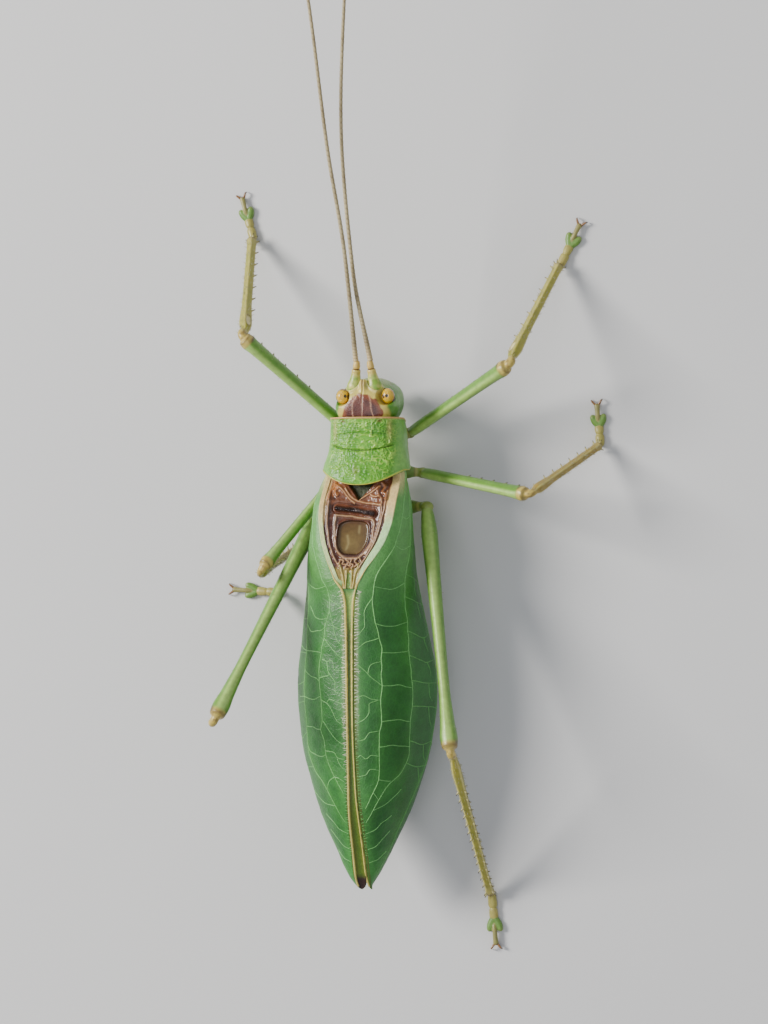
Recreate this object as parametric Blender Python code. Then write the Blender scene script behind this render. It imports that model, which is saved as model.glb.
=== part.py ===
"""Life-size still model of an adult male true katydid, a long horned grasshopper.

The insect stands on the floor z = 0 with its wings folded. Its head points to -Y, its tail
to +Y and its left side is +X. Design sizes are millimetres; y = 0 is the front edge of the
pronotum and x = 0 the middle plane of the folded wings.
"""
import math

import bmesh
import bpy
import numpy as np
from mathutils import Vector

MM = 0.001
GAP = 0.15
LEFT = 1
RIGHT = -1
SIDES = {LEFT: "left", RIGHT: "right"}

# Body lean: head and pronotum sit a little to the animal's right of the wings.
LEAN = 0.8
LEAN_START = 2.0
LEAN_LENGTH = 15.0

# Head
EYE_RADIUS = 0.72
EYE_PLACE = (2.32, -2.1, 9.0)
SOCKET_PLAY = 0.12
FASTIGIUM_REACH = 0.45
SCAPE_FOOT = (1.1, -2.6, 9.25)
SCAPE_END = (0.74, -4.75, 9.75)
SCAPE_RADIUS = 0.54
PEDICEL_RADIUS = 0.36
FLAGELLUM_RADIUS = (0.3, 0.26)
FLAGELLUM_SPLIT = 0.5

# Pronotum: a saddle-shaped shell with two side lobes
PRONOTUM_LENGTH = 6.65
PRONOTUM_SHOULDER = 8.4
PRONOTUM_THICKNESS = 0.55
PRONOTUM_ARCH = 0.6
LOBE_BOTTOM = 5.3
SULCI = (1.6, 3.2)
SULCUS_DEPTH = 0.14

# Folded fore wings (tegmina)
WING_FRONT = 5.85
WING_TIP = 46.6
WING_THICKNESS = 0.55
FLANK_POWER = 1.7
BAND_WIDTH = 0.28
STRID_END = 16.3
STRID_SETBACK = 0.65

# Legs: lengths and base, as (distance from the middle plane, y, z) of the femur's root
LEGS = {
    "front": dict(root=(2.9, 1.4, 3.2), coxa_y=1.9, femur=14.6, tibia=14.6, tarsus=4.6,
                  thick=(0.62, 0.74, 0.56, 0.5, 0.6), shin=(0.44, 0.58, 0.42, 0.42)),
    "mid": dict(root=(4.2, 5.3, 3.0), coxa_y=5.2, femur=14.2, tibia=12.0, tarsus=4.2,
                thick=(0.6, 0.66, 0.54, 0.5, 0.6), shin=(0.44, 0.5, 0.42, 0.42)),
    "hind": dict(root=(5.4, 8.6, 4.6), coxa_y=8.8, femur=25.2, tibia=20.8, tarsus=5.2,
                 thick=(0.75, 1.0, 0.84, 0.62, 0.76), shin=(0.42, 0.52, 0.48, 0.46)),
}
# Stance: femur heading, knee height, tibia heading, toe heading (degrees from -Y towards +X)
STANCE = {
    ("front", LEFT): (45.0, 10.0, 12.0, 16.0),
    ("front", RIGHT): (298.0, 10.2, 341.6, 334.0),
    ("mid", LEFT): (152.2, 12.85, 5.0, 335.0),
    ("mid", RIGHT): (259.5, 10.3, 310.2, 5.0),
    ("hind", LEFT): (162.4, 18.6, 357.4, 87.0),
    ("hind", RIGHT): (191.3, 14.0, 184.0, 185.0),
}
ANKLE_HEIGHT = 0.95
SOLE_SINK = 1.1
COXA_ANGLE = 44.0
COXA_RADIUS = 0.72


def track(stations):
    """A smooth function without overshoot through a few (place, value) stations."""
    places, values = (np.array(column, float) for column in zip(*stations))
    steps = np.diff(values) / np.diff(places)
    slopes = np.zeros_like(values)
    for i in range(1, len(values) - 1):
        if steps[i - 1] * steps[i] > 0.0:
            slopes[i] = 2.0 * steps[i - 1] * steps[i] / (steps[i - 1] + steps[i])
    slopes[0] = steps[0]
    slopes[-1] = steps[-1]

    def value(place):
        place = min(max(place, places[0]), places[-1])
        i = int(np.clip(np.searchsorted(places, place) - 1, 0, len(places) - 2))
        width = places[i + 1] - places[i]
        t = (place - places[i]) / width
        near = (1.0 + 2.0 * t) * values[i] + t * width * slopes[i]
        far = (3.0 - 2.0 * t) * values[i + 1] - (1.0 - t) * width * slopes[i + 1]
        return (1.0 - t) ** 2 * near + t ** 2 * far

    return value


def middle(y):
    """The x of the body's middle plane at y."""
    t = min(max((y - LEAN_START) / LEAN_LENGTH, 0.0), 1.0)
    return -LEAN * (1.0 - t * t * (3.0 - 2.0 * t))


def heading(degrees):
    angle = math.radians(degrees)
    return Vector((math.sin(angle), -math.cos(angle), 0.0))


def paint(name, colour, roughness):
    material = bpy.data.materials.new(name)
    material.use_nodes = True
    shader = material.node_tree.nodes["Principled BSDF"]
    shader.inputs["Base Color"].default_value = (*colour, 1.0)
    shader.inputs["Roughness"].default_value = roughness
    shader.inputs["Metallic"].default_value = 0.0
    return material


def solid(name, vertices, faces, material):
    """One closed body from vertices in design millimetres; faces of more than 4 corners are split."""
    mesh = bpy.data.meshes.new(name)
    mesh.from_pydata([tuple(MM * c for c in vertex) for vertex in vertices], [], faces)
    cage = bmesh.new()
    cage.from_mesh(mesh)
    bmesh.ops.recalc_face_normals(cage, faces=cage.faces)
    bmesh.ops.triangulate(cage, faces=[face for face in cage.faces if len(face.verts) > 4])
    cage.to_mesh(mesh)
    cage.free()
    mesh.shade_smooth()
    mesh.set_sharp_from_angle(angle=math.radians(40.0))
    mesh.materials.append(material)
    obj = bpy.data.objects.new(name, mesh)
    bpy.context.scene.collection.objects.link(obj)
    return obj


def loft(name, rings, material, spines=(), spine_length=0.4, spine_lean=(0.0, 0.0, 0.0)):
    """Joins rings of equal count, fans both ends shut and raises a spine on chosen quads."""
    vertices = [Vector(point) for ring in rings for point in ring]
    count = len(rings[0])
    faces = []
    for i in range(len(rings) - 1):
        centre = sum((Vector(point) for point in rings[i]), Vector()) / count
        for j in range(count):
            k = (j + 1) % count
            quad = [i * count + j, i * count + k, (i + 1) * count + k, (i + 1) * count + j]
            if (i, j) in spines:
                foot = sum((vertices[index] for index in quad), Vector()) / 4.0
                outward = (foot - centre) - (foot - centre).project(vertices[quad[3]] - vertices[quad[0]])
                vertices.append(foot + outward.normalized() * spine_length + Vector(spine_lean))
                tip = len(vertices) - 1
                faces.extend([quad[n], quad[(n + 1) % 4], tip] for n in range(4))
            else:
                faces.append(quad)
    for ring_index in (0, len(rings) - 1):
        first = ring_index * count
        vertices.append(sum(vertices[first:first + count], Vector()) / count)
        hub = len(vertices) - 1
        faces.extend([first + j, first + (j + 1) % count, hub] for j in range(count))
    return solid(name, vertices, faces, material)


def hull(name, rings, material):
    """The closed convex body around all the rings, for short stout pieces that bend sharply."""
    cage = bmesh.new()
    for ring in rings:
        for point in ring:
            cage.verts.new(point)
    bmesh.ops.convex_hull(cage, input=cage.verts)
    bmesh.ops.delete(cage, geom=[vertex for vertex in cage.verts if not vertex.link_faces], context="VERTS")
    cage.verts.index_update()
    vertices = [vertex.co.copy() for vertex in cage.verts]
    faces = [[vertex.index for vertex in face.verts] for face in cage.faces]
    cage.free()
    return solid(name, vertices, faces, material)


def plate(name, outer, inner, material):
    """A closed shell between two grids of points with equal rows and columns."""
    rows, columns = len(outer), len(outer[0])
    vertices = [point for grid in (outer, inner) for row in grid for point in row]
    offset = rows * columns
    faces = []
    for i in range(rows - 1):
        for j in range(columns - 1):
            quad = [i * columns + j, i * columns + j + 1, (i + 1) * columns + j + 1, (i + 1) * columns + j]
            faces.append(quad)
            faces.append([index + offset for index in reversed(quad)])
    rim = [j for j in range(columns)]
    rim += [i * columns + columns - 1 for i in range(1, rows)]
    rim += [(rows - 1) * columns + j for j in range(columns - 2, -1, -1)]
    rim += [i * columns for i in range(rows - 2, 0, -1)]
    for a, b in zip(rim, rim[1:] + rim[:1]):
        faces.append([a, b, b + offset, a + offset])
    return solid(name, vertices, faces, material)


def sweep(path, radii, across, sides=8):
    """Rings along a path; radii are (across, other way) pairs or single numbers."""
    path = [Vector(point) for point in path]
    rings = []
    for i, point in enumerate(path):
        tangent = (path[min(i + 1, len(path) - 1)] - path[max(i - 1, 0)]).normalized()
        side = (across - across.project(tangent)).normalized()
        up = side.cross(tangent)
        wide, high = radii[i] if isinstance(radii[i], tuple) else (radii[i], radii[i])
        turns = [2.0 * math.pi * (j + 0.5) / sides for j in range(sides)]
        rings.append([point + side * wide * math.cos(a) + up * high * math.sin(a) for a in turns])
    return rings


def along(points, count):
    """Evenly spaced points on a smooth curve through the given points."""
    points = [np.array(point, float) for point in points]
    reach = np.concatenate([[0.0], np.cumsum([np.linalg.norm(b - a) for a, b in zip(points, points[1:])])])
    axes = [track(list(zip(reach, [point[i] for point in points]))) for i in range(3)]
    return [Vector([axis(place) for axis in axes]) for place in np.linspace(0.0, reach[-1], count)]


# --- Head -------------------------------------------------------------------------------

def head_rings(sides=18):
    """Level rings from the mouth up to the crown, with the fastigium drawn out in front."""
    half_width = track([(3.6, 1.9), (4.6, 2.6), (6.0, 3.1), (7.4, 3.05), (9.0, 2.55), (9.9, 2.0),
                        (10.35, 0.9)])
    half_depth = track([(3.6, 1.3), (4.6, 1.8), (6.0, 2.15), (7.4, 2.25), (9.0, 2.05), (9.9, 1.6),
                        (10.35, 0.8)])
    centre = track([(3.6, -2.4), (6.0, -1.85), (8.0, -1.6), (10.35, -1.25)])
    rings = []
    for z in (3.6, 4.1, 5.0, 6.2, 7.4, 8.4, 9.1, 9.6, 10.0, 10.25, 10.35):
        point_out = FASTIGIUM_REACH * math.exp(-((z - 9.5) / 0.45) ** 2)
        ring = []
        for j in range(sides):
            turn = 2.0 * math.pi * j / sides
            x = half_width(z) * math.sin(turn)
            y = centre(z) - half_depth(z) * math.cos(turn)
            if j == 0:
                y -= point_out
            ring.append((middle(-1.0) + x, y, z))
        rings.append(ring)
    return rings


def ball(name, centre, radius, material):
    mesh = bpy.data.meshes.new(name)
    cage = bmesh.new()
    bmesh.ops.create_uvsphere(cage, u_segments=14, v_segments=9, radius=radius * MM)
    cage.to_mesh(mesh)
    cage.free()
    mesh.shade_smooth()
    mesh.materials.append(material)
    obj = bpy.data.objects.new(name, mesh)
    obj.location = Vector(centre) * MM
    bpy.context.scene.collection.objects.link(obj)
    return obj


def hollow(target, cutter):
    """Sinks a cutter's shape into the target with a Boolean and hides the cutter."""
    cutter.hide_render = True
    cutter.display_type = "WIRE"
    cut = target.modifiers.new("Socket", "BOOLEAN")
    cut.operation = "DIFFERENCE"
    cut.object = cutter


def on_head(side, place):
    return Vector((middle(-1.0) + side * place[0], place[1], place[2]))


def scape_rings(side, play):
    path = along([on_head(side, SCAPE_FOOT), on_head(side, SCAPE_END)], 5)
    path[0] += (path[0] - path[1]).normalized() * play
    radii = [SCAPE_RADIUS * scale + play for scale in (0.85, 1.0, 1.0, 0.95, 0.8)]
    return sweep(path, radii, Vector((1.0, 0.0, 0.0)), sides=10)


def antenna_route(side):
    """Points from the scape's end to the tip; the two feelers cross at different heights."""
    start = on_head(side, SCAPE_END) + Vector((0.0, -0.75, 0.2))
    if side == LEFT:
        bends = [(0.3, -15.5, 12.6), (1.35, -25.5, 15.0), (2.4, -39.4, 18.0), (4.2, -52.0, 20.6),
                 (7.5, -67.0, 22.5)]
    else:
        bends = [(-0.15, -14.5, 11.5), (0.28, -25.0, 13.6), (-0.9, -39.2, 17.0), (-3.4, -52.0, 19.8),
                 (-8.0, -67.0, 22.0)]
    return [start] + bends


def labrum_rings():
    outline = ((-1.0, -3.75), (-0.5, -3.95), (0.5, -3.95), (1.0, -3.75), (0.9, -3.3), (-0.9, -3.3))
    levels = ((3.45, 0.95, 0.15), (2.9, 1.0, 0.2), (2.4, 0.75, 0.35), (2.2, 0.4, 0.45))
    return [[(middle(-1.0) + x * wide, y + push, z) for x, y in outline] for z, wide, push in levels]


def build_head(materials):
    head = loft("head", head_rings(), materials["head"])
    for side, word in SIDES.items():
        eye_place = on_head(side, EYE_PLACE)
        ball("eye_" + word, eye_place, EYE_RADIUS, materials["eye"])
        hollow(head, ball("socket_eye_" + word, eye_place, EYE_RADIUS + SOCKET_PLAY, materials["head"]))
        hollow(head, loft("socket_scape_" + word, scape_rings(side, SOCKET_PLAY), materials["head"]))
        build_antenna(side, word, materials)
        build_mouth_side(side, word, materials)
    loft("labrum", labrum_rings(), materials["mouth"])


def build_antenna(side, word, materials):
    scape = scape_rings(side, 0.0)
    heading_out = Vector((-side * 0.12, -1.0, 0.2)).normalized()
    end = on_head(side, SCAPE_END)
    pedicel = sweep([end + heading_out * d for d in (0.1, 0.3, 0.6)], [PEDICEL_RADIUS, PEDICEL_RADIUS, 0.3],
                    Vector((1.0, 0.0, 0.0)), sides=10)
    loft("antenna_base_" + word, scape + pedicel, materials["scape"])
    route = along(antenna_route(side), 37)
    split = int(FLAGELLUM_SPLIT * (len(route) - 1))
    radius = track([(0.0, FLAGELLUM_RADIUS[0]), (1.0, FLAGELLUM_RADIUS[1])])
    for length, first, last in (("inner", 0, split), ("outer", split, len(route) - 1)):
        path = [route[i].copy() for i in range(first, last + 1)]
        if length == "outer":
            path[0] += (path[1] - path[0]).normalized() * GAP
        radii = [radius(i / (len(route) - 1)) for i in range(first, last + 1)]
        loft("antenna_" + length + "_" + word, sweep(path, radii, Vector((1.0, 0.0, 0.0)), sides=6),
             materials["antenna"])


def build_mouth_side(side, word, materials):
    lean = middle(-1.0)
    jaw_path = [(lean + side * 0.62, -2.8, 3.45), (lean + side * 0.62, -2.75, 2.9),
                (lean + side * 0.45, -2.7, 2.4)]
    jaw = sweep(jaw_path, [(0.45, 0.28), (0.42, 0.25), (0.25, 0.2)], Vector((1.0, 0.0, 0.0)), sides=6)
    loft("mandible_" + word, jaw, materials["mouth"])
    across = Vector((1.0, 0.2, 0.0))
    outer = along([(lean + side * 1.45, -2.25, 3.42), (lean + side * 1.8, -2.5, 2.7),
                   (lean + side * 2.0, -3.2, 2.1), (lean + side * 1.7, -3.9, 1.3)], 7)
    loft("maxillary_palp_" + word, sweep(outer, [0.27] * 6 + [0.3], across, sides=6), materials["palp"])
    inner = along([(lean + side * 0.75, -1.85, 3.42), (lean + side * 0.95, -2.1, 2.4),
                   (lean + side * 1.0, -2.8, 1.6)], 5)
    loft("labial_palp_" + word, sweep(inner, [0.26] * 4 + [0.28], across, sides=6), materials["palp"])


# --- Pronotum, thorax and abdomen -------------------------------------------------------

PRONOTUM_WIDTH = track([(0.0, 3.6), (1.6, 3.65), (3.2, 3.75), (5.1, 4.15), (6.65, 4.1)])
PRONOTUM_TOP = track([(0.0, 10.9), (1.6, 10.85), (3.2, 10.8), (5.0, 11.1), (6.65, 11.35)])


def pronotum_point(p, q, inset):
    """p runs from the front edge to the hind edge, q from the right lobe to the left one."""
    reach = abs(q)
    side = math.copysign(1.0, q)
    turn = min(reach / PRONOTUM_ARCH, 1.0) * math.pi / 2.0
    drop = max(reach - PRONOTUM_ARCH, 0.0) / (1.0 - PRONOTUM_ARCH)
    across = math.sin(turn) ** 0.8
    front = 0.6 * drop ** 2
    back = PRONOTUM_LENGTH - 1.5 * across ** 2 - 0.7 * drop
    y = front + p * (back - front)
    groove = sum(math.exp(-((y - place) / 0.3) ** 2) for place in SULCI) * SULCUS_DEPTH
    inset = inset + groove
    width = PRONOTUM_WIDTH(y) - inset
    top = PRONOTUM_TOP(y) - inset
    x = side * width * (across - 0.12 * drop ** 2)
    arch = math.cos(turn) ** 0.8 if turn < math.pi / 2.0 else 0.0
    z = PRONOTUM_SHOULDER + (top - PRONOTUM_SHOULDER) * arch - (PRONOTUM_SHOULDER - LOBE_BOTTOM) * drop
    return (middle(y) + x, y, z)


def build_pronotum(materials):
    rows = [0.0, 0.12, 0.24, 0.36, 0.48, 0.6, 0.8, 1.0]
    columns = np.linspace(-1.0, 1.0, 17)
    outer, inner = ([[pronotum_point(p, q, inset) for q in columns] for p in rows]
                    for inset in (0.0, PRONOTUM_THICKNESS))
    plate("pronotum", outer, inner, materials["pronotum"])


THORAX_WIDTH = track([(0.75, 2.2), (3.0, 2.55), (6.5, 2.85), (9.0, 3.2), (13.0, 3.3)])
THORAX_TOP = track([(0.75, 9.4), (3.0, 9.9), (6.5, 9.7), (10.0, 9.6), (13.0, 9.4)])
THORAX_FLOOR = track([(0.75, 4.4), (3.0, 3.4), (6.5, 2.9), (10.0, 2.8), (13.0, 3.1)])
ABDOMEN_WIDTH = track([(13.15, 3.3), (20.0, 3.7), (27.0, 3.3), (32.0, 2.2), (33.6, 1.5)])
ABDOMEN_TOP = track([(13.15, 9.4), (20.0, 9.3), (28.0, 8.6), (33.6, 7.2)])
ABDOMEN_FLOOR = track([(13.15, 3.1), (20.0, 2.7), (28.0, 3.4), (33.6, 5.0)])


def barrel(stations, width, top, floor, sides=16):
    rings = []
    for y in stations:
        centre = (top(y) + floor(y)) / 2.0
        height = (top(y) - floor(y)) / 2.0
        turns = [2.0 * math.pi * j / sides for j in range(sides)]
        rings.append([(middle(y) + width(y) * math.cos(a), y, centre + height * math.sin(a)) for a in turns])
    return rings


def build_trunk(materials):
    chest = barrel((0.75, 1.8, 3.5, 5.2, 7.0, 8.8, 11.0, 13.0), THORAX_WIDTH, THORAX_TOP, THORAX_FLOOR)
    loft("thorax", chest, materials["belly"])
    segment_ends = np.linspace(13.15, 33.6, 10)
    loft("abdomen", barrel(segment_ends, ABDOMEN_WIDTH, ABDOMEN_TOP, ABDOMEN_FLOOR), materials["belly"])
    keel = [(0.0, 33.75, 5.7), (0.0, 34.8, 5.9), (0.0, 36.0, 6.5), (0.0, 36.8, 7.3)]
    scoop = sweep(keel, [(1.2, 0.6), (1.0, 0.5), (0.65, 0.35), (0.3, 0.26)], Vector((1.0, 0.0, 0.0)))
    loft("subgenital_plate", scoop, materials["belly"])
    for side, word in SIDES.items():
        hook = along([(side * 0.8, 33.75, 6.9), (side * 1.15, 34.9, 7.4), (side * 0.8, 36.2, 8.0)], 5)
        loft("cercus_" + word, sweep(hook, [0.3, 0.36, 0.34, 0.3, 0.25], Vector((1.0, 0.0, 0.0)), sides=6),
             materials["belly"])


# --- Folded fore wings ------------------------------------------------------------------

WING_WIDTH = track([(5.7, 4.35), (8.5, 4.8), (12.0, 5.1), (16.0, 5.5), (20.0, 6.1), (27.0, 7.1),
                    (32.0, 6.6), (37.0, 5.25), (41.0, 3.6), (44.0, 2.2), (46.6, 0.85)])
WING_RIDGE = track([(5.7, 11.0), (10.0, 11.6), (17.0, 12.4), (27.5, 12.2), (37.0, 11.2), (43.0, 9.0),
                    (46.6, 7.6)])
WING_BULGE = track([(5.7, 8.8), (12.0, 8.6), (20.0, 6.8), (27.0, 5.6), (37.0, 5.9), (46.6, 7.2)])
WING_HEM = track([(5.7, 7.7), (9.0, 7.1), (12.0, 6.0), (16.0, 4.6), (20.0, 3.4), (27.0, 2.4), (34.0, 3.0),
                  (40.0, 4.7), (46.6, 7.0)])
HEM_TUCK = track([(5.7, 0.93), (12.0, 0.85), (20.0, 0.72), (27.0, 0.66), (37.0, 0.72), (46.6, 0.9)])
STRID_HALF = track([(5.7, 3.85), (8.1, 3.6), (12.0, 2.9), (14.0, 2.2), (16.4, 1.1), (18.2, 0.35),
                    (30.0, 0.35), (40.0, 0.45), (46.6, 0.5)])
FLANK_TURNS = [0.14, 0.34, 0.56, 0.78, 1.0]
HEM_TURNS = [0.34, 0.67, 1.0]
LINING_STEP = 0.3


def wing_section(side, y):
    """Outer points (x outward from the middle, z) from the inner margin to the costal hem."""
    ridge = WING_RIDGE(y)
    corner = STRID_HALF(y)
    overlap_starts = STRID_END + 0.3
    if side == LEFT and y >= overlap_starts:
        margin = -corner + GAP
        edge = corner
    else:
        margin = corner
        edge = corner + BAND_WIDTH
        if side == RIGHT and y >= overlap_starts:
            ridge -= 0.1
    width = max(WING_WIDTH(y), edge + 0.25)
    bulge = WING_BULGE(y)
    hem = WING_HEM(y)
    tuck = width * HEM_TUCK(y)
    points = [(margin, ridge), (edge, ridge)]
    bend = 2.0 / FLANK_POWER
    for turn in FLANK_TURNS:
        angle = turn * math.pi / 2.0
        out = math.sin(angle) ** bend
        fall = max(math.cos(angle), 0.0) ** bend
        points.append((edge + (width - edge) * out, bulge + (ridge - bulge) * fall))
    for turn in HEM_TURNS:
        angle = turn * math.pi / 2.0
        points.append((tuck + (width - tuck) * math.cos(angle), bulge - (bulge - hem) * math.sin(angle)))
    return points


def wing_lining(section, thickness):
    """The section's inner points. Round bends tighter than the wall they keep the outer points' order."""
    lining = []
    for j, (x, z) in enumerate(section):
        before = section[max(j - 1, 0)]
        after = section[min(j + 1, len(section) - 1)]
        run, rise = after[0] - before[0], after[1] - before[1]
        size = math.hypot(run, rise)
        inward = (rise / size, -run / size) if j > 0 else (0.0, -1.0)
        inner_x, inner_z = x + thickness * inward[0], z + thickness * inward[1]
        if j > 0:
            step_out, step_down = x - before[0], before[1] - z
            if step_out > 0.0:
                inner_x = max(inner_x, lining[-1][0] + LINING_STEP * step_out)
            inner_z = min(inner_z, lining[-1][1] - LINING_STEP * step_down)
        lining.append((inner_x, inner_z))
    return lining


def build_wing(side, word, materials):
    rows = [WING_FRONT, 7.0, 9.0, 11.5, 14.0, STRID_END + 0.1, STRID_END + 0.3, 18.2, 21.0, 24.5, 28.0,
            32.0, 36.0, 39.5, 42.5, 44.8, WING_TIP]
    outer = []
    inner = []
    for y in rows:
        section = wing_section(side, y)
        thickness = min(WING_THICKNESS, 0.42 * (section[0][1] - section[-1][1]), 0.5 * WING_WIDTH(y))
        lining = wing_lining(section, thickness)
        outer.append([(side * x, y, z) for x, z in section])
        inner.append([(side * x, y, z) for x, z in lining])
    plate("tegmen_" + word, outer, inner, materials["wing"])


def strid_point(p, q, lower):
    """The brown sound-making area between the two tegmina: p runs back, q across."""
    front = PRONOTUM_LENGTH - 1.3 * q * q + STRID_SETBACK
    y = front + p * (STRID_END - front)
    half = STRID_HALF(y) - GAP
    x = q * half
    z = WING_RIDGE(y) - 0.55 * (1.0 - q * q) * (1.0 - p)
    z += 0.3 * math.exp(-((y - 9.4) / 0.35) ** 2) * math.exp(-(x / 2.0) ** 4)
    rim = math.hypot(x / 1.65, (y - 12.0) / 1.9)
    z += 0.22 * math.exp(-((rim - 1.0) / 0.2) ** 2) - 0.1 * (rim < 0.8)
    if lower:
        z = WING_RIDGE(y) - 0.55 * (1.0 - q * q) * (1.0 - p) - 0.65
    return (x + middle(y) * (1.0 - abs(q)), y, z)


def build_stridulatory_area(materials):
    rows = np.linspace(0.0, 1.0, 15)
    columns = np.linspace(-1.0, 1.0, 9)
    grids = [[[strid_point(p, q, lower) for q in columns] for p in rows] for lower in (False, True)]
    plate("stridulatory_area", grids[0], grids[1], materials["mirror"])


# --- Legs -------------------------------------------------------------------------------

def leg_frame(pair, side):
    """Femur root, knee and ankle of one leg."""
    size = LEGS[pair]
    femur_heading, knee_height, tibia_heading, toe_heading = STANCE[(pair, side)]
    out, y, z = size["root"]
    root = Vector((middle(y) + side * out, y, z))
    reach = math.sqrt(size["femur"] ** 2 - (knee_height - z) ** 2)
    knee = root + heading(femur_heading) * reach + Vector((0.0, 0.0, knee_height - z))
    drop = knee_height - ANKLE_HEIGHT
    reach = math.sqrt(max(size["tibia"] ** 2 - drop ** 2, 0.01))
    ankle = knee + heading(tibia_heading) * reach - Vector((0.0, 0.0, drop))
    return root, knee, ankle, heading(toe_heading)


def build_coxa(pair, side, word, root, thigh, materials):
    y = LEGS[pair]["coxa_y"]
    angle = math.radians(COXA_ANGLE)
    half_height = (THORAX_TOP(y) - THORAX_FLOOR(y)) / 2.0
    centre = Vector((middle(y), y, (THORAX_TOP(y) + THORAX_FLOOR(y)) / 2.0))
    foot = centre + Vector((side * THORAX_WIDTH(y) * math.cos(angle), 0.0, -half_height * math.sin(angle)))
    outward = Vector((side * math.cos(angle) / THORAX_WIDTH(y), 0.0, -math.sin(angle) / half_height))
    outward.normalize()
    start = foot + outward * 1.3 * GAP
    end = root - thigh * 1.7 * GAP
    mouth = LEGS[pair]["thick"][0] * 0.75
    across = (end - start).cross(thigh)
    base = sweep([start, start + outward * 0.3], [COXA_RADIUS * 0.9, COXA_RADIUS], across)
    socket = sweep([end - thigh * 0.2, end], [mouth, mouth], across)
    hull("coxa_" + pair + "_" + word, base + socket, materials["coxa"])


def build_femur(pair, side, word, root, knee, across, materials):
    thick = LEGS[pair]["thick"]
    thigh = (knee - root).normalized()
    places = (0.0, 0.03, 0.12, 0.25, 0.42, 0.58, 0.72, 0.84, 0.93, 0.97, 1.0)
    radius = track([(0.0, thick[0]), (0.12, thick[1]), (0.3, thick[2]), (0.75, thick[3]), (0.95, thick[4]),
                    (1.0, thick[4] * 0.7)])
    start = root + thigh * 1.4 * GAP
    end = knee - thigh * GAP
    path = [start.lerp(end, place) for place in places]
    radii = [(radius(place) * 0.88, radius(place)) for place in places]
    spines = [(i, j) for i in (4, 5, 6) for j in (5, 6)] if pair != "hind" else [(i, 5) for i in (5, 6, 7)]
    loft("femur_" + pair + "_" + word, sweep(path, radii, across), materials["leg"], spines=spines,
         spine_length=0.35)


def build_tibia(pair, side, word, thigh, knee, ankle, across, materials):
    shin = LEGS[pair]["shin"]
    line = (ankle - knee).normalized()
    fold = (line - line.project(thigh)).normalized()
    elbow = knee + thigh * 0.55 + fold * 1.05
    bend = [knee + thigh * GAP, knee + thigh * 0.5 + fold * 0.15, knee + thigh * 0.78 + fold * 0.55, elbow]
    places = (0.0, 0.06, 0.14, 0.26, 0.38, 0.5, 0.62, 0.74, 0.86, 0.95, 1.0)
    radius = track([(0.0, shin[0]), (0.12, shin[1]), (0.3, shin[2]), (1.0, shin[3])])
    path = bend[:3] + [elbow.lerp(ankle, place) for place in places]
    radii = [shin[0], shin[0] * 1.05, shin[0]] + [radius(place) for place in places]
    rows = (5, 6) if pair != "hind" else (1, 2)
    spines = [(i, j) for i in (6, 7, 8, 9, 10) for j in rows]
    loft("tibia_" + pair + "_" + word, sweep(path, radii, across), materials["shin"], spines=spines,
         spine_length=0.35)


def build_tarsus(pair, side, word, ankle, toe, materials):
    """Three pads and a slender claw joint, flat underneath; two claws rise from the end."""
    length = LEGS[pair]["tarsus"]
    across = Vector((0.0, 0.0, 1.0)).cross(toe)
    stations = ((0.06, 0.34, 0.36), (0.14, 0.46, 0.4), (0.27, 0.48, 0.36), (0.3, 0.36, 0.33),
                (0.36, 0.46, 0.35), (0.45, 0.48, 0.33), (0.48, 0.38, 0.31), (0.56, 0.7, 0.33),
                (0.66, 0.8, 0.32), (0.7, 0.42, 0.3), (0.76, 0.3, 0.3), (0.9, 0.3, 0.34), (1.0, 0.34, 0.34))
    rings = []
    for place, wide, high in stations:
        centre = Vector((ankle.x, ankle.y, high)) + toe * length * place
        turns = [2.0 * math.pi * (j + 0.5) / 8 for j in range(8)]
        lift = Vector((0.0, 0.0, SOLE_SINK * high))
        ring = [centre + across * wide * math.cos(a) + lift * math.sin(a) for a in turns]
        for point in ring:
            point.z = max(point.z, 0.0)
        rings.append(ring)
    claws = [(len(rings) - 2, 0), (len(rings) - 2, 3)]
    loft("tarsus_" + pair + "_" + word, rings, materials["foot"], spines=claws, spine_length=0.4,
         spine_lean=toe * 0.5)


def build_leg(pair, side, word, materials):
    root, knee, ankle, toe = leg_frame(pair, side)
    thigh = (knee - root).normalized()
    across = thigh.cross(ankle - knee).normalized()
    build_coxa(pair, side, word, root, thigh, materials)
    build_femur(pair, side, word, root, knee, across, materials)
    build_tibia(pair, side, word, thigh, knee, ankle, across, materials)
    build_tarsus(pair, side, word, ankle, toe, materials)


# --- Assembly ---------------------------------------------------------------------------

def clear_scene():
    for obj in list(bpy.data.objects):
        bpy.data.objects.remove(obj)


def set_origin_under_box():
    """Hangs everything on one empty whose shift centres the box over the world origin."""
    bpy.context.view_layer.update()
    bodies = [obj for obj in bpy.data.objects if not obj.hide_render]
    corners = [obj.matrix_world @ vertex.co for obj in bodies for vertex in obj.data.vertices]
    low = Vector([min(corner[i] for corner in corners) for i in range(3)])
    high = Vector([max(corner[i] for corner in corners) for i in range(3)])
    root = bpy.data.objects.new("katydid", None)
    bpy.context.scene.collection.objects.link(root)
    for obj in list(bpy.data.objects):
        if obj is not root:
            obj.parent = root
    root.location = (-(low.x + high.x) / 2.0, -(low.y + high.y) / 2.0, -low.z)


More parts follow.
